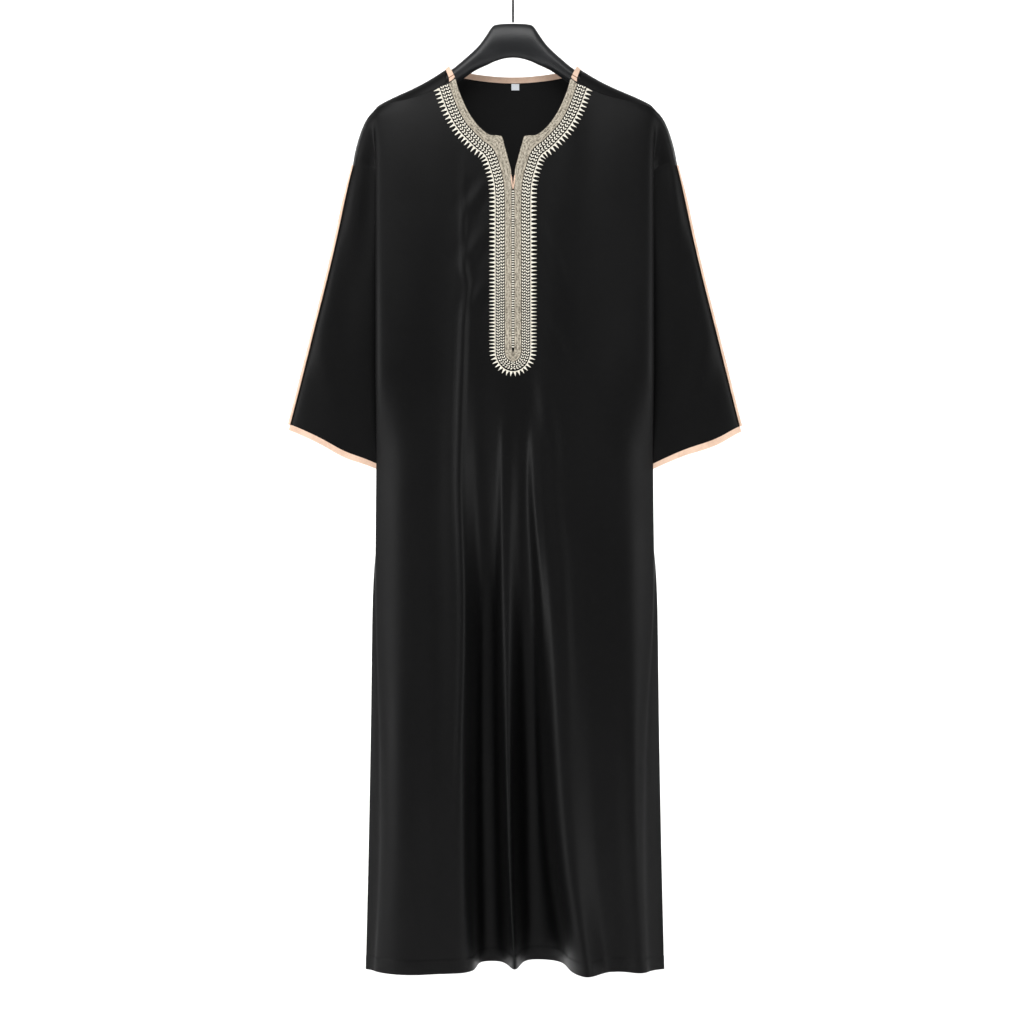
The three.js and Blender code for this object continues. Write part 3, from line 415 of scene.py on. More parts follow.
def seam_points(bm, panel):
    """Points that lie next to a point of another panel."""
    bm.verts.ensure_lookup_table()
    tree = KDTree(len(bm.verts))
    for vert in bm.verts:
        tree.insert(vert.co, vert.index)
    tree.balance()
    own = [vert.link_faces[0][panel] for vert in bm.verts]
    return {vert for vert in bm.verts
            if any(own[index] != own[vert.index]
                   for _, index, _ in tree.find_range(vert.co, SEAM_REACH))}


def sew():
    bm, panel = walls_of(PANELS)
    seam = seam_points(bm, panel)
    rims = [face for face in bm.faces
            if seam.issuperset(face.verts) and by_length(face)[0].calc_length() < WALL_LIMIT]
    bmesh.ops.delete(bm, geom=rims, context="FACES")
    join_quads(bm)
    # a set has no order of its own, so the points are listed in the mesh's order: which point of
    # a pair stays then comes out the same on each run
    bmesh.ops.remove_doubles(bm, verts=[vert for vert in bm.verts if vert in seam],
                             dist=SEAM_REACH)
    crease = crease_rims(bm)
    for edge in bm.edges:
        sides = {face[panel] for face in edge.link_faces}
        if len(sides) == 2:
            edge[crease] = PRESSED if sides == {0, 1} else SOFT
    print("sewn:", len(rims), "rim faces gone,", sum(edge.is_boundary for edge in bm.edges),
          "open edges left")
    return smoothed(bm, "garment", 2)


garment = sew()

# %% [markdown]
# ## Slack beside the placket
# The embroidery makes the placket stiff, and the thin cloth beside it sags away from it in
# short slanting creases. A crease is a soft ridge with a hollow beside it, drawn here from one
# point to another and fading out at both ends. The chest also has a few long, shallow waves.
# Down the skirt run the pressed edges of the long folds, and two broad bulges near its sides.
# The hem is turned up, so the cloth stands proud below a line of stitches.

# %% Creases
# from x, z to x, z, then half width and height, all in millimetres
FRONT_CREASES = [
    (-41, -300, -74, -352, 8.0, 1.7), (-40, -368, -76, -428, 9.0, 2.0),
    (-40, -446, -70, -503, 8.0, 1.7), (48, -372, 82, -470, 9.0, 1.9),
    (47, -497, 84, -582, 8.5, 1.8), (36, -566, 69, -730, 9.0, 1.8),
    (-112, -180, -122, -470, 20.0, 1.8), (74, -170, 88, -330, 18.0, 1.6),
    (150, -200, 140, -480, 26.0, 1.6), (-160, -190, -150, -420, 22.0, 1.6),
]
SLEEVE_CREASES = [(-233, -238, -243, -405, 12.0, 3.0), (-258, -300, -287, -560, 16.0, 1.8),
                  (-296, -500, -262, -640, 15.0, 1.4)]
# the pressed edges of the long folds: points from the top down, then half width and height
LONG_RIDGES = [
    ([(-74, -253), (-74, -423), (-66.6, -453), (-72.6, -490), (-78.5, -623), (-80.5, -742),
      (-74, -919), (-75.5, -1038), (-80, -1156), (-80, -1300)], 5.0, 1.9),
    ([(-15.5, -650), (-16, -742), (-18.5, -1101), (-12.6, -1440)], 4.0, 1.3),
    ([(26, -650), (28, -742), (41.5, -919), (49, -1216), (74, -1440)], 4.5, 1.2),
    ([(59, -660), (59.5, -742), (74, -861), (85, -1156)], 7.0, 1.2),
    ([(-156, -330), (-158, -742), (-165, -1440)], 36.0, 5.0),
    ([(158, -330), (160, -742), (168, -1440)], 36.0, 5.0),
]
# a crease runs on past both ends by this share of its length, and fades by this power
BEYOND, FADE_POWER = 0.25, 1.5
# a long ridge fades in over this length for each millimetre of height, and out over the other
FADE_IN, FADE_OUT = 45, 160
# how deep the hollows beside a crease and a ridge are, and how far out, in half widths
CREASE_HOLLOW, RIDGE_HOLLOW, HOLLOW_PLACE = 0.55, 0.3, 1.9
HEM_LINE = -1.4515
# in millimetres: how proud the hem stands, and how deep and wide its stitches press
HEM_PROUD, HEM_DENT, HEM_HALF = 0.35, 0.45, 0.8


def section(side, hollow):
    """Height across a soft ridge with a hollow on each side; side is in half widths."""
    return math.exp(-side * side) - hollow * math.exp(-(abs(side) - HOLLOW_PLACE) ** 2)


def crease_height(x, z, creases):
    """How far the creases lift the cloth at a place, in millimetres."""
    total = 0.0
    for x0, z0, x1, z1, half, height in creases:
        run = Vector((x1 - x0, z1 - z0))
        spot = Vector((x - x0, z - z0))
        share = spot.dot(run) / run.length_squared
        if not -BEYOND < share < 1 + BEYOND:
            continue
        side = (spot.x * run.y - spot.y * run.x) / run.length / half
        turn = math.pi * (share + BEYOND) / (1 + 2 * BEYOND)
        total += height * max(0.0, math.sin(turn)) ** FADE_POWER * section(side, CREASE_HOLLOW)
    return total


def read_line(points, z):
    """Across position of a line, given as points from the top down, at one height."""
    for (x0, z0), (x1, z1) in zip(points, points[1:]):
        if z >= z1:
            return x0 + (x1 - x0) * min(1.0, max(0.0, (z0 - z) / (z0 - z1)))
    return points[-1][0]


def share_of(value, start, stop):
    """0 at start, 1 at stop, and held beyond them."""
    return min(1.0, max(0.0, (value - start) / (stop - start)))


def ridge_height(x, z):
    """How far the long ridges lift the front at a place, in millimetres."""
    total = 0.0
    for points, half, height in LONG_RIDGES:
        top, low = points[0][1], points[-1][1]
        fade = share_of(z, low, low + FADE_OUT) * share_of(z, top, top - FADE_IN * height)
        if fade:
            side = (x - read_line(points, z)) / half
            total += height * fade * section(side, RIDGE_HOLLOW)
    return total


def hem_step(z, normal):
    """The turned-up hem stands a little proud below its line of stitches."""
    below = HEM_LINE - z
    line = math.exp(-(below / (HEM_HALF * MM)) ** 2)
    return normal * MM * ((HEM_PROUD if below > 0 else 0.0) - HEM_DENT * line)


print("creases:", len(FRONT_CREASES), "in front,", len(SLEEVE_CREASES), "on each sleeve,",
      len(LONG_RIDGES), "long ridges")

# %% [markdown]
# ## Sleeve edges
# A sleeve is a flat tube that hangs from a dropped shoulder. Smoothing rounds its outer fold
# off, so the fold is drawn out again to its line, and the cuff gets the slight wave that the
# weight of its binding pulls into it. Beside the body the sleeve's front turns back into the dark.

# %% Sleeve edges
# the middle of the shoulders lies this far to the right of the middle plane
SHOULDER_SHIFT = 3.0
OUTER_LINE = [(244.5, -267), (250, -290), (271.5, -396), (301, -516), (336, -657), (342, -680)]
EDGE_DEPTH, EDGE_DRAW = 16.0, 2.2
# how far out, half width and depth of the dip in each cuff
CUFF_DIPS = {-1: (255, 28, 4.5), 1: (300, 36, 6.5)}
CUFF_OUT, CUFF_Z, CUFF_SLOPE = 338.5, -663, 0.485
TUCK_START, TUCK_WIDTH, TUCK_DEPTH = 184, 34, 6.0
BACK_SHARE = 0.6


def sleeve_shift(co):
    """How a point of a sleeve, its tape or its binding shifts, in metres."""
    x, y, z = co / MM
    side = 1 if x > 0 else -1
    out = abs(x) - side * SHOULDER_SHIFT
    edge = share_of(read_line(OUTER_LINE, z) - out, EDGE_DEPTH, 0.0) ** 2
    draw = EDGE_DRAW * share_of(z, -290, -660) * edge
    place, half, depth = CUFF_DIPS[side]
    cuff_z = CUFF_Z - (CUFF_OUT - out) * CUFF_SLOPE
    dip = depth * math.exp(-((out - place) / half) ** 2) * share_of(z - cuff_z, 110, 0) ** 2
    lift = crease_height(-out, z, SLEEVE_CREASES)
    lift *= share_of(out, 200, 216) * share_of(z, -740, -680)
    tuck = TUCK_DEPTH * share_of(out, TUCK_START + TUCK_WIDTH, TUCK_START) ** 2
    tuck *= share_of(z, -275, -330) * share_of(z - cuff_z, 0, 60)
    back = -lift + tuck if y < 0 else BACK_SHARE * lift
    return Vector((side * draw, back, -dip)) * MM


print("sleeve folds drawn out by", EDGE_DRAW, "mm")

# %% [markdown]
# ## The sides of the skirt
# A hanging skirt is two panels that lie almost flat on each other at their side seams, and only
# part towards the middle. Its section is a lens, so the cloth turns away gently at the outline.

# %% Skirt sides
SIDE_LINE = [(208, -740), (211.6, -900), (215.6, -1100), (223.5, -1453)]
SEAM_DEPTH = -5.0
LENS, LENS_WIDTH, LENS_POWER = 0.85, 90.0, 1.6
LENS_NONE, LENS_FULL = -580, -700
ARMPIT = -270


def side_shift(co):
    """How a point of the front or the back shifts towards the depth of the side seam."""
    x, y, z = co / MM
    out = abs(x) - math.copysign(SHOULDER_SHIFT, x)
    edge = read_line(SIDE_LINE, z)
    flat = LENS * share_of(out, edge - LENS_WIDTH, edge) ** LENS_POWER
    flat *= share_of(z, LENS_NONE, LENS_FULL)
    return Vector((0, -(y - SEAM_DEPTH) * flat, 0)) * MM


def garment_shift(bm, panel):
    """Shifts every point of the sewn garment by the folds of the panels it belongs to."""
    bm.normal_update()
    shifts = []
    for vert in bm.verts:
        own = {face[panel] for face in vert.link_faces}
        x, _, z = vert.co / MM
        shift = hem_step(vert.co.z, vert.normal)
        if 0 in own:
            lift = crease_height(x, z, FRONT_CREASES) + ridge_height(x, z)
            shift = shift - Vector((0, lift, 0)) * MM
        if own & {0, 1}:
            shift = shift + side_shift(vert.co)
        if own & {2, 3} or z > ARMPIT:
            shift = shift + sleeve_shift(vert.co)
        shifts.append(shift)
    for vert, shift in zip(bm.verts, shifts):
        vert.co += shift
    print("points of the garment moved:", len(shifts))


# %% [markdown]
# ## Back to pieces
# The sewn garment is cut into its panels again. Each gets a wall of its own along the seams,
# which nobody sees but which keeps it a closed shell, and the edges there are marked sharp, so
# that the shading runs on from one panel to the next.

# %% Cut the garment into pieces
# rows of points at and beside the hem's stitches, so that the line is crisp
HEM_CUTS = [HEM_LINE + out * MM for out in (1.6, 0, -1.6)]
ACROSS_WALL = 0.6 * MM


def close_seams(bm):
    """Walls along the cut edges. The short edges across the cloth's own wall only join them."""
    seam = [edge for edge in bm.edges if edge.is_boundary]
    for edge in seam:
        edge.smooth = False
    for side in (-1, 1):
        run = [edge for edge in seam
               if edge.verts[0].co.x * side > 0 and edge.calc_length() > ACROSS_WALL]
        if run:
            bmesh.ops.bridge_loops(bm, edges=run)
    bmesh.ops.holes_fill(bm, edges=[edge for edge in bm.edges if edge.is_boundary])


def take_panel(number, name):
    bm = garment.copy()
    panel = bm.faces.layers.int["panel"]
    bmesh.ops.delete(bm, geom=[face for face in bm.faces if face[panel] != number],
                     context="FACES")
    close_seams(bm)
    print(name, "open edges:", sum(edge.is_boundary for edge in bm.edges))
    bm.faces.layers.int.remove(panel)
    mesh = bpy.data.meshes.new(name)
    bm.to_mesh(mesh)
    bm.free()
    return add_piece(name, mesh, cloth_finish, [PANELS[number]])


for height in HEM_CUTS:
    bmesh.ops.bisect_plane(garment, geom=[*garment.verts, *garment.edges, *garment.faces],
                           dist=0.01 * MM, plane_co=(0, 0, height), plane_no=(0, 0, 1))
garment_shift(garment, garment.faces.layers.int["panel"])
front, back, left_sleeve, right_sleeve = [
    take_panel(number, name) for number, name in
    enumerate(("front_panel", "back_panel", "left_sleeve_cloth", "right_sleeve_cloth"))]
garment.free()

# %% [markdown]
# ## Satin bindings
# Each binding is a strip of satin folded over a raw edge, so it is thicker than the cloth and
# rounded at its fold. They are smoothed from the frame's walls in the same way. The edge that
# lies next to the cloth is drawn over it, so that no light shows between the two.

# %% Bindings and tapes
OVERLAP = 1.5
# an edge takes part by how far its faces look up or down
EDGE_FROM, EDGE_TO = 0.25, 0.6
PIPING, PIPING_HALF, PIPING_LEAST = 2.4, 7.0, 0.2
STRIP_MIDDLE, STRIP_SHARE = 95.5, 0.76
STRIP_START, STRIP_LEAN = -2.4, 6.7
# the tape is neck tape nearer the middle than the first of these, and a strip beyond the second
NECK_END, STRIP_FROM = 76, 84


def tape_shift(co, _):
    """The tape down a sleeve is folded over the seam, so its fold stands out like piping."""
    x, y, z = co / MM
    proud = PIPING * max(0.0, 1 - (y / PIPING_HALF) ** 2)
    proud *= max(PIPING_LEAST, share_of(z, -267, -330))
    return sleeve_shift(co) + Vector((math.copysign(proud, x), 0, 0)) * MM


def cuff_shift(co, normal):
    """The upper edge of a cuff's binding is drawn up over the cloth."""
    up = share_of(normal.z, EDGE_FROM, EDGE_TO)
    return sleeve_shift(co) + Vector((0, 0, OVERLAP * MM * up))


def strip_shift(co, normal):
    """The neck tape's two ends are slim, and lean towards the neck as they come down in front.
    Behind the neck its lower edge is drawn down over the cloth."""
    x, _, z = co / MM
    side = 1 if x > 0 else -1
    lean = STRIP_START + STRIP_LEAN * share_of(z, -124, -144)
    moved = STRIP_MIDDLE - lean + (abs(x) - STRIP_MIDDLE) * STRIP_SHARE
    inwards = (moved - abs(x)) * share_of(abs(x), NECK_END, STRIP_FROM)
    down = OVERLAP * share_of(-normal.z, EDGE_FROM, EDGE_TO)
    down *= share_of(abs(x), STRIP_FROM, NECK_END)
    return Vector((side * inwards, 0, -down)) * MM


def add_binding(node, move, finish=tape_finish):
    return add_piece(node + "_satin", shell_mesh(node, 3, move), finish, [node])


cuffs = [add_binding(node, cuff_shift) for node in ("cuff_binding_l", "cuff_binding_r")]
sleeve_tapes = [add_binding(node, tape_shift) for node in ("sleeve_tape_l", "sleeve_tape_r")]
neck_binding = add_binding("neck_binding", strip_shift, neck_tape_finish)

# %% [markdown]
# ## Hanger, hook and label
# The hanger's sections already follow its arch, so a subdivision surface nearly does. Its
# underside is let down a little on both sides of the middle, where the real moulding is deep.
# Smoothing makes the wire of the hook thinner, so it is thickened again.

# %% Hanger, hook and label
ARCH_PLACE, ARCH_HALF, ARCH_DEPTH = 33.0, 17.0, 4.0
WIRE_THICKER = 0.35 * MM


def arch_shift(co, normal):
    side = (abs(co.x / MM) - ARCH_PLACE) / ARCH_HALF
    under = share_of(normal.z, 0.3, -0.5)
    return Vector((0, 0, -ARCH_DEPTH * MM * math.exp(-side * side) * under))


def wire_shift(_, normal):
    return normal * WIRE_THICKER


add_piece("hanger_moulding", shell_mesh("hanger", 2, arch_shift), plastic_finish,
          ["hanger"])
add_piece("hook_wire", shell_mesh("hook", 1, wire_shift), wire_finish, ["hook"])
label = add_piece("blank_label", shell_mesh("size_label", 2), label_finish,
                  ["size_label"])

# %% [markdown]
# ## Laying stitches on the cloth
# The embroidery follows one long path: down from each shoulder, along the placket and round
# its lower end. Stitches are easiest to shape flat, so each is made along that path with a
# distance along it, a distance across it and a height, and every point is then laid on the
# finished front by looking straight back onto it. That way the stitches follow each fold.

# %% The path of the embroidery
CORD_LINE = [(109.5, -160), (106, -170), (101.5, -183), (97, -194), (92, -204.5), (86, -215),
             (79.5, -224.5), (72.5, -232.5), (60.2, -245.3), (53.6, -251.3), (44.5, -257.8),
             (39.6, -264), (35, -275.5), (31.1, -287.5), (28.3, -300), (26.9, -313), (26.4, -330),
             (26.4, -400), (26.4, -475)]
EDGE_LINE = [(85.5, -144.5), (81, -161.5), (75.4, -176), (67.4, -193.6), (59.4, -206.4),
             (50.8, -217.3), (39.6, -227.2), (32, -230.6), (19.5, -231), (15.6, -234.5),
             (11.3, -249), (6.2, -268), (3.2, -281), (2.2, -300), (2.1, -318), (2.1, -400),
             (2.1, -475)]
END_Z = -550.0
CORD_RADIUS = 26.4
CORD_DROP, ROW_DROP = 31.2, 30.0
# round the neck, up to the bend, the rows lie wider by this share
WIDER, BEND, BEND_FADE = 0.10, 120.0, 30.0
BESIDE_CELLS = 500
# between these places along the path the stitches draw closer by this share
CLOSER, CLOSER_FROM, CLOSER_TO = 0.19, 250, 350


def smooth_line(points, cells=24):
    """A fine line through flat points, with no corner at any of them."""
    points = [Vector(point) for point in points]
    ends = [2 * points[0] - points[1], *points, 2 * points[-1] - points[-2]]
    line = []
    for before, start, stop, after in zip(ends, ends[1:], ends[2:], ends[3:]):
        reach = (stop - start).length / 3
        line += geometry.interpolate_bezier(
            start, start + (stop - before).normalized() * reach,
            stop - (after - start).normalized() * reach, stop, cells + 1)[:-1]
    return line + [points[-1]]


def arc(radius, drop, steps=24):
    """A quarter turn round the lower end of the placket, from the side to the middle."""
    turns = [math.pi / 2 * k / steps for k in range(1, steps + 1)]
    return [Vector((radius * math.cos(t), END_Z - drop * math.sin(t))) for t in turns]


class Path:
    """A flat line that is read by distance along it, in millimetres."""

    def __init__(self, line):
        self.line = line
        self.reach = [0.0]
        for a, b in zip(line, line[1:]):
            self.reach.append(self.reach[-1] + (b - a).length)
        self.length = self.reach[-1]

    def at(self, distance, across=0.0):
        """The point this far along, and across from the line towards the neck opening."""
        place = min(max(distance, 0.0), self.length)
        low, high = 0, len(self.reach) - 2
        while low < high:
            middle = (low + high + 1) // 2
            low, high = (middle, high) if self.reach[middle] <= place else (low, middle - 1)
        start, stop = self.line[low], self.line[low + 1]
        ahead = (stop - start).normalized()
        return (start + ahead * (distance - self.reach[low])
                + Vector((ahead.y, -ahead.x)) * across)

    def beside(self, across):
        """A parallel path. Round the neck, before the bend, the rows lie a little wider."""
        spots = [self.length * k / BESIDE_CELLS for k in range(BESIDE_CELLS + 1)]
        return Path([self.at(spot, across * (1 + WIDER * share_of(spot, BEND + BEND_FADE, BEND)))
                     for spot in spots])


cord_path, row_path = [
    Path(smooth_line(CORD_LINE + [(CORD_RADIUS, END_Z)]) + arc(CORD_RADIUS, drop))
    for drop in (CORD_DROP, ROW_DROP)]
print("embroidery, one side:", round(cord_path.length), "mm")


def tightness(spot):
    """Stitches lie closer together towards the lower end: their pitch as a share of the first."""
    return 1 - CLOSER * share_of(spot, CLOSER_FROM, CLOSER_TO)


def stations(start, stop, pitch):
    """Places along a path, a pitch apart but closer where the stitches are tight."""
    spots = [start]
    while spots[-1] < stop:
        spots.append(spots[-1] + pitch * tightness(spots[-1]))
    scale = (stop - start) / (spots[-1] - start)
    return [start + (spot - start) * scale for spot in spots]


# %% [markdown]
# ## One stitch
# A place on the cloth is found by looking straight back from the front. Where the cloth turns
# away or is missed, as at the neck's edge, the nearest place counts instead. A stitch is a plump
# drop that is narrower at its tip, with its lower half pressed into the cloth.

# %% Lay a flat shape on the front
LAY_HEIGHT = 0.3
# in millimetres: where the look back starts, and about how far forward the front hangs
LOOK_FROM, FRONT_PLACE = -200, -38
# a hit counts if its face looks forward by this much and lies before this depth, in metres
FACING, DEEPEST = -0.2, -0.015
# the width of one thread, and of the braid's, in millimetres
THREAD, BRAID_THREAD = 0.36, 0.5
TAPER, SUNK = 0.3, 0.25
# the darkest painted shade on a stitch, at its foot in the cloth
DARKEST = 0.35


def tree_of(pieces):
    """One search tree over the faces of several pieces."""
    points, faces = [], []
    for piece in pieces:
        known = len(points)
        points += [vert.co[:] for vert in piece.data.vertices]
        faces += [[known + index for index in face.vertices] for face in piece.data.polygons]
    return BVHTree.FromPolygons(points, faces)


front_tree = tree_of([front, back, neck_binding])


def seat(x, z, height):
    """A point this high above the cloth at a place of the front; all in millimetres."""
    spot, normal, _, _ = front_tree.ray_cast(Vector((x, LOOK_FROM, z)) * MM, Vector((0, 1, 0)))
    if spot is None or normal.y > FACING or spot.y > DEEPEST:
        spot, normal, _, _ = front_tree.find_nearest(Vector((x, FRONT_PLACE, z)) * MM)
        if normal.y > 0:
            normal = -normal
    return spot + normal * (LAY_HEIGHT + height) * MM


def new_stitches():
    """An empty bmesh whose points carry the two numbers that the thread's finish reads."""
    bm = bmesh.new()
    bm.verts.layers.float.new("thread")
    bm.verts.layers.float.new("painted_shade_and_tone")
    return bm


def stitch_shape():
    """A plump stitch of unit size, lying along X, sunk into the cloth below."""
    bm = new_stitches()
    bmesh.ops.create_uvsphere(bm, u_segments=8, v_segments=6, radius=1.0,
                              matrix=Matrix.Rotation(math.radians(90), 4, "Y"))
    painted_shade_and_tone = bm.verts.layers.float["painted_shade_and_tone"]
    for vert in bm.verts:
        # painted shade: a stitch is coloured lighter on its top and darker down its sides into the
        # cloth
        vert[painted_shade_and_tone] = DARKEST + (1 - DARKEST) * max(0.0, vert.co.z)
        vert.co.z *= 1 if vert.co.z > 0 else SUNK
    shape = bpy.data.meshes.new("stitch_shape")
    bm.to_mesh(shape)
    bm.free()
    return shape


shape = stitch_shape()
unit_stitch = [vert.co.copy() for vert in shape.vertices]
print("one stitch:", len(shape.polygons), "faces")


def leaf(bm, path, start, side, tail, tip, width, height, taper=TAPER):
    """One plump stitch from its tail to its tip, given as (along, across), laid on the cloth."""
    tail, tip = Vector(tail), Vector(tip)
    ahead, middle = (tip - tail) / 2, (tail + tip) / 2
    beside = Vector((-ahead.y, ahead.x)).normalized() * width / 2
    for vert, unit, count in zip(shape.vertices, unit_stitch, shape.attributes["thread"].data):
        local = middle + ahead * unit.x + beside * unit.y * (1 - taper * unit.x)
        flat = path.at(start + local.x, local.y)
        vert.co = seat(side * flat.x, flat.y, unit.z * height)
        count.value = unit.y * width / 2 / THREAD
    bm.from_mesh(shape)


def finish_stitches(bm, name, finish, nodes):
    bmesh.ops.recalc_face_normals(bm, faces=bm.faces)
    mesh = bpy.data.meshes.new(name)
    bm.to_mesh(mesh)
    bm.free()
    return add_piece(name, mesh, finish, nodes)


# %% [markdown]
# ## Rows of leaves
# Two rows of small hearts run side by side. A heart is a pair of leaves whose fat ends touch
# the next row, and whose points meet and look down the path. Between one heart and the next
# the black cloth shows as a dot on each side, which is what makes the rows sparkle.

# %% Leaves
LEAF_PITCH = 5.0
ROWS = {"leaf_row_outer": 4.6, "leaf_row_inner": 10.65}
LEAF_WIDTH, LEAF_HEIGHT, LEAF_TAPER = 2.1, 1.1, 0.5
LOBE, POINT = (-1.35, 2.6), (2.3, 0.1)


def leaf_row(name, across):
    bm = new_stitches()
    row = row_path.beside(across)
    for side in (-1, 1):
        for start in stations(-1.0, row.length - 2.5, LEAF_PITCH):
            short = tightness(start)
            for wing in (-1, 1):
                leaf(bm, row, start, side, (LOBE[0] * short, wing * LOBE[1]),
                     (POINT[0] * short, wing * POINT[1]), LEAF_WIDTH * short, LEAF_HEIGHT,
                     LEAF_TAPER)
    return finish_stitches(bm, name + "_stitches", light_thread, [name])


leaf_rows = [leaf_row(name, across) for name, across in ROWS.items()]

# %% [markdown]
# ## Cord and spikes
# Outside the hearts a thin twisted cord carries a row of spikes. A spike is a tongue of satin
# stitch that narrows to its tip, and two threads widen its foot where it meets the cord.

# %% Cord and spikes
# each stitch of the cord lies a little slanted: from its tail to its tip, then width and height
CORD_PITCH = 1.7
CORD_STITCH = ((-1.3, -0.3), (1.3, 0.3), 1.4, 0.8)
SPIKE_PITCH, SPIKE_REACH, SPIKE_WIDTH, SPIKE_HEIGHT, SPIKE_TAPER = 6.5, 9.2, 2.3, 1.2, 0.4
# the last spikes are shorter, between these distances from the path's end
SHORTER, SHORTER_FROM, SHORTER_TO = 2.0, 45, 5
FORK_SPREAD, FORK_REACH, FORK_WIDTH, FORK_HEIGHT = 1.7, 4.6, 1.2, 0.85
FOOT = 0.3


def cord_and_spikes():
    bm = new_stitches()
    for side in (-1, 1):
        for k in range(int(cord_path.length / CORD_PITCH) + 1):
            leaf(bm, cord_path, k * CORD_PITCH, side, *CORD_STITCH)
        for start in stations(0.6, cord_path.length - 2.7, SPIKE_PITCH):
            left_over = cord_path.length - start
            reach = SPIKE_REACH - SHORTER * share_of(left_over, SHORTER_FROM, SHORTER_TO)
            short = tightness(start)
            leaf(bm, cord_path, start, side, (0, -FOOT), (0, -reach), SPIKE_WIDTH * short,
                 SPIKE_HEIGHT, SPIKE_TAPER)
            for wing in (-1, 1):
                leaf(bm, cord_path, start, side, (wing * FORK_SPREAD * short, -FOOT),
                     (wing * FOOT, -FORK_REACH), FORK_WIDTH * short, FORK_HEIGHT)
    return finish_stitches(bm, "cord_and_spikes", light_thread, ["spike_row"])


spikes = cord_and_spikes()

# %% [markdown]
# ## The braid
# Along the neck edge and down both sides of the placket runs a dense braid in grey thread:
# two herringbone bands between three raised lines. Its threads lie in long uneven strands, with
# dark specks where the needle went through. It is one grid whose rows run along the path,
# lifted by the height of its stitches.

# %% Braid
BRAID_START, BRAID_LEAD = 14.2, 2
BRAID_STEP, BRAID_CELLS = 0.5, 22
HERRING_PITCH, HERRING_LEAN = 2.1, 0.9
# how the inner edge and the outer edge draw to a point under the placket
INNER_END = [(2.1, -538), (2.1, -544), (1.6, -549), (0.15, -553)]
POINTED = 1.2
# shares of the width where the raised lines and the needle's holes lie, with half widths in mm
RAILS, RAIL_HALF = (0.07, 0.5, 0.92), 0.6
SPECK_LINES, SPECK_HALF = (0.3, 0.68), 0.9
EDGE_RISE = 14


def lines_at(places, share, width, half):
    """1 on each of some lines along the braid, falling off over half a width."""
    return sum(math.exp(-((share - place) * width / half) ** 2) for place in places)


def braid_relief(along, across, width):
    """Height, and painted shade with thread tone, at a distance across from its outer side."""
    share = across / width
    rails = min(1.0, lines_at(RAILS, share, width, RAIL_HALF))
    slant = along + abs(share - 0.5) * width * (HERRING_LEAN if share < 0.5 else -HERRING_LEAN)
    herring = 0.5 + 0.5 * math.sin(2 * math.pi * slant / HERRING_PITCH)
    twist = 0.5 + 0.5 * math.sin(2 * math.pi * (along * 0.8 + across * 2.0) / HERRING_PITCH)
    strands = noise.noise(Vector((along * 0.09, across * 0.95, 3.0)))
    patches = noise.noise(Vector((along * 0.42, across * 0.42, 9.0)))
    needle = lines_at(SPECK_LINES, share, width, SPECK_HALF)
    specks = needle * max(0.0, noise.noise(Vector((along * 0.55, across * 0.5, 17.0))))
    edge = min(1.0, share * EDGE_RISE, (1 - share) * EDGE_RISE)
    height = 0.35 + 0.45 * herring * (1 - rails) + (0.35 + 0.3 * twist) * rails + 0.3 * patches
    # painted shade: lighter on the raised herringbone and rails, darker towards both edges where
    # the braid sinks; strands and patches are the threads' own uneven tone, and specks mark the
    # needle's holes
    painted_shade_and_tone = 0.3 + 0.3 * herring * (1 - rails) + (0.3 + 0.3 * twist) * rails
    painted_shade_and_tone += 1.3 * strands + 1.3 * patches - 3.0 * specks
    return height * edge, painted_shade_and_tone * (0.25 + 0.75 * edge)


def braid():
    bm = new_stitches()
    thread, painted_shade_and_tone = (bm.verts.layers.float[name] for name in ("thread", "painted_shade_and_tone"))
    outer_path = row_path.beside(BRAID_START)
    edge_path = Path(smooth_line(EDGE_LINE + INNER_END))
    straight = 1 - (math.pi / 2 * (CORD_RADIUS - BRAID_START)) / outer_path.length
    rows = round(outer_path.length / BRAID_STEP)
    for side in (-1, 1):
        grid = bmesh.ops.create_grid(bm, x_segments=rows, y_segments=BRAID_CELLS, size=1.0)
        for vert in grid["verts"]:
            along, across = (vert.co.x + 1) / 2, (vert.co.y + 1) / 2
            turned = share_of(along, straight, 1.0)
            outer = outer_path.at(along * (outer_path.length + BRAID_LEAD) - BRAID_LEAD)
            inner = edge_path.at(min(1.0, along / straight) * edge_path.length)
            inner.y -= turned
            outer.y -= POINTED * turned ** 6
            flat = outer.lerp(inner, across)
            width = (inner - outer).length
            height, tone = braid_relief(along * outer_path.length, across * width, width)
            vert[thread] = across * width / BRAID_THREAD
            vert[painted_shade_and_tone] = tone
            vert.co = seat(side * flat.x, flat.y, height)
    return finish_stitches(bm, "neck_braid_stitches", grey_thread, ["neck_braid"])


neck_braid = braid()

# %% [markdown]
# ## Knots down the middle
# A column of small light knots closes the placket, each a few turns of thread across it.

# %% Knots
KNOT_PITCH = 3.6
KNOT_TOP, KNOT_LOW = -314.0, -544.5
KNOT_HALF, KNOT_WIDTH, KNOT_HEIGHT = 2.25, 2.1, 1.7


def knots():
    bm = new_stitches()
    middle = Path([Vector((0, KNOT_TOP)), Vector((0, KNOT_LOW))])
    for k in range(int(middle.length / KNOT_PITCH) + 1):
        leaf(bm, middle, k * KNOT_PITCH, 1, (0, -KNOT_HALF), (0, KNOT_HALF), KNOT_WIDTH,
             KNOT_HEIGHT, 0.0)
    return finish_stitches(bm, "placket_knots", light_thread, ["dot_cord"])


placket_knots = knots()

# %% [markdown]
# ## The point of the slit
# Two slim satin stitches run down the edges of the slit and meet in a point under it. They
# hold the end of the slit together, where a wearer's head would otherwise tear it.

# %% Slit point
SLIT_TOP, SLIT_LOW = -288, -315
SLIT_SPREAD, SLIT_TIP, SLIT_WIDTH, SLIT_HEIGHT = 3.3, (23.5, 0.25), 2.3, 1.2


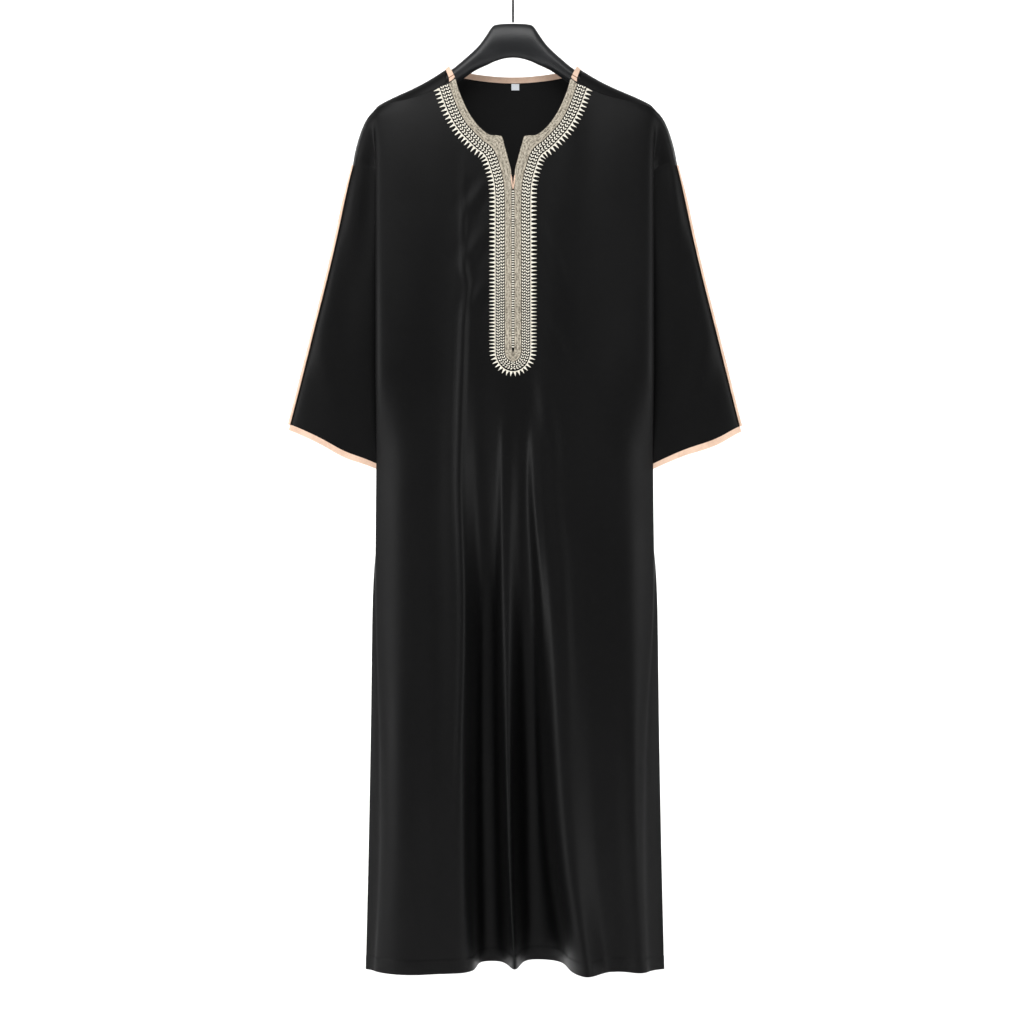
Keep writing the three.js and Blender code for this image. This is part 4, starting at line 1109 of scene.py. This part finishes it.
def slit_point():
    bm = new_stitches()
    middle = Path([Vector((0, SLIT_TOP)), Vector((0, SLIT_LOW))])
    for wing in (-1, 1):
        leaf(bm, middle, 0, 1, (0.0, wing * SLIT_SPREAD), (SLIT_TIP[0], wing * SLIT_TIP[1]),
             SLIT_WIDTH, SLIT_HEIGHT)
    return finish_stitches(bm, "slit_point_satin", tape_finish, ["slit_point"])


slit_stitches = slit_point()

# %% [markdown]
# ## Sheets
# The cloth pieces are the front, the back and the two sleeves.

# %% Sheets
print("sheets: front, back and two sleeves")

# %% [markdown]
# ## Studio
# A pale sweep runs from the floor up behind the robe, well clear of it, so the outline stands
# against an even white. Two tall soft boxes light the cloth from the sides, because black satin
# only shows what it mirrors, and a wide one above lights the shoulders and the embroidery. Two
# more stand behind the robe and light only the sweep.

# %% Studio
# in metres: the floor's height and front edge, its turn upwards, the wall's top, half its width
FLOOR, FLOOR_FRONT = -1.75, -3.0
BEND_START, SWEEP_BEND, BEND_STEPS = 2.2, 1.2, 12
WALL_TOP, SWEEP_HALF = 3.0, 4.0
# place, aim, width and height in metres, then power in watts
SOFT_BOXES = {
    "left_box": ((-2.9, -1.5, -0.4), (0, 0, -0.8), 1.1, 2.4, 50),
    "right_box": ((2.9, -1.5, -0.4), (0, 0, -0.8), 1.0, 2.4, 36),
    "top_box": ((-0.5, -2.1, 1.6), (0, 0, -0.8), 2.4, 1.4, 62),
    "backdrop_left": ((-2.6, 1.6, 0.6), (0.6, 3.2, -1.0), 1.0, 2.4, 70),
    "backdrop_right": ((2.6, 1.6, 0.6), (-0.6, 3.2, -1.0), 1.0, 2.4, 70),
}
WORLD_STRENGTH = 0.36


def sweep():
    """A floor that turns up into a wall, pulled out from its side view."""
    turns = [math.pi / 2 * k / BEND_STEPS for k in range(1, BEND_STEPS + 1)]
    profile = [(FLOOR_FRONT, FLOOR), (BEND_START, FLOOR)]
    profile += [(BEND_START + SWEEP_BEND * math.sin(t), FLOOR + SWEEP_BEND * (1 - math.cos(t)))
                for t in turns]
    profile.append((BEND_START + SWEEP_BEND, WALL_TOP))
    bm = bmesh.new()
    line = [bm.verts.new((-SWEEP_HALF, *spot)) for spot in profile]
    edges = [bm.edges.new(pair) for pair in zip(line, line[1:])]
    pulled = bmesh.ops.extrude_edge_only(bm, edges=edges)["geom"]
    bmesh.ops.translate(bm, verts=[v for v in pulled if isinstance(v, bmesh.types.BMVert)],
                        vec=(2 * SWEEP_HALF, 0, 0))
    mesh = bpy.data.meshes.new("floor_sweep")
    bm.to_mesh(mesh)
    bm.free()
    paper = Finish("pale_paper", Roughness=0.9)
    paper.set("Base Color", paper.colour(paper.speckle(40.0).ramp(0.3, 0.7), (0.93, 0.93, 0.93),
                                         (0.96, 0.96, 0.96)))
    floor = bpy.data.objects.new("floor_sweep", mesh)
    mesh.materials.append(paper.material)
    mesh.shade_smooth()
    bpy.context.collection.objects.link(floor)


def soft_box(name, place, aim, width, height, power):
    light = bpy.data.lights.new(name, "AREA")
    light.shape, light.size, light.size_y, light.energy = "RECTANGLE", width, height, power
    lamp = bpy.data.objects.new(name, light)
    lamp.location = place
    lamp.rotation_euler = (Vector(aim) - Vector(place)).to_track_quat("-Z", "Y").to_euler()
    bpy.context.collection.objects.link(lamp)


sweep()
for name, box in SOFT_BOXES.items():
    soft_box(name, *box)
print("soft boxes:", len(SOFT_BOXES))

bpy.context.scene.view_settings.view_transform = "Standard"
world = bpy.data.worlds.new("studio")
bpy.context.scene.world = world
world.use_nodes = True
background = world.node_tree.nodes["Background"]
background.inputs["Color"].default_value = (1, 1, 1, 1)
background.inputs["Strength"].default_value = WORLD_STRENGTH
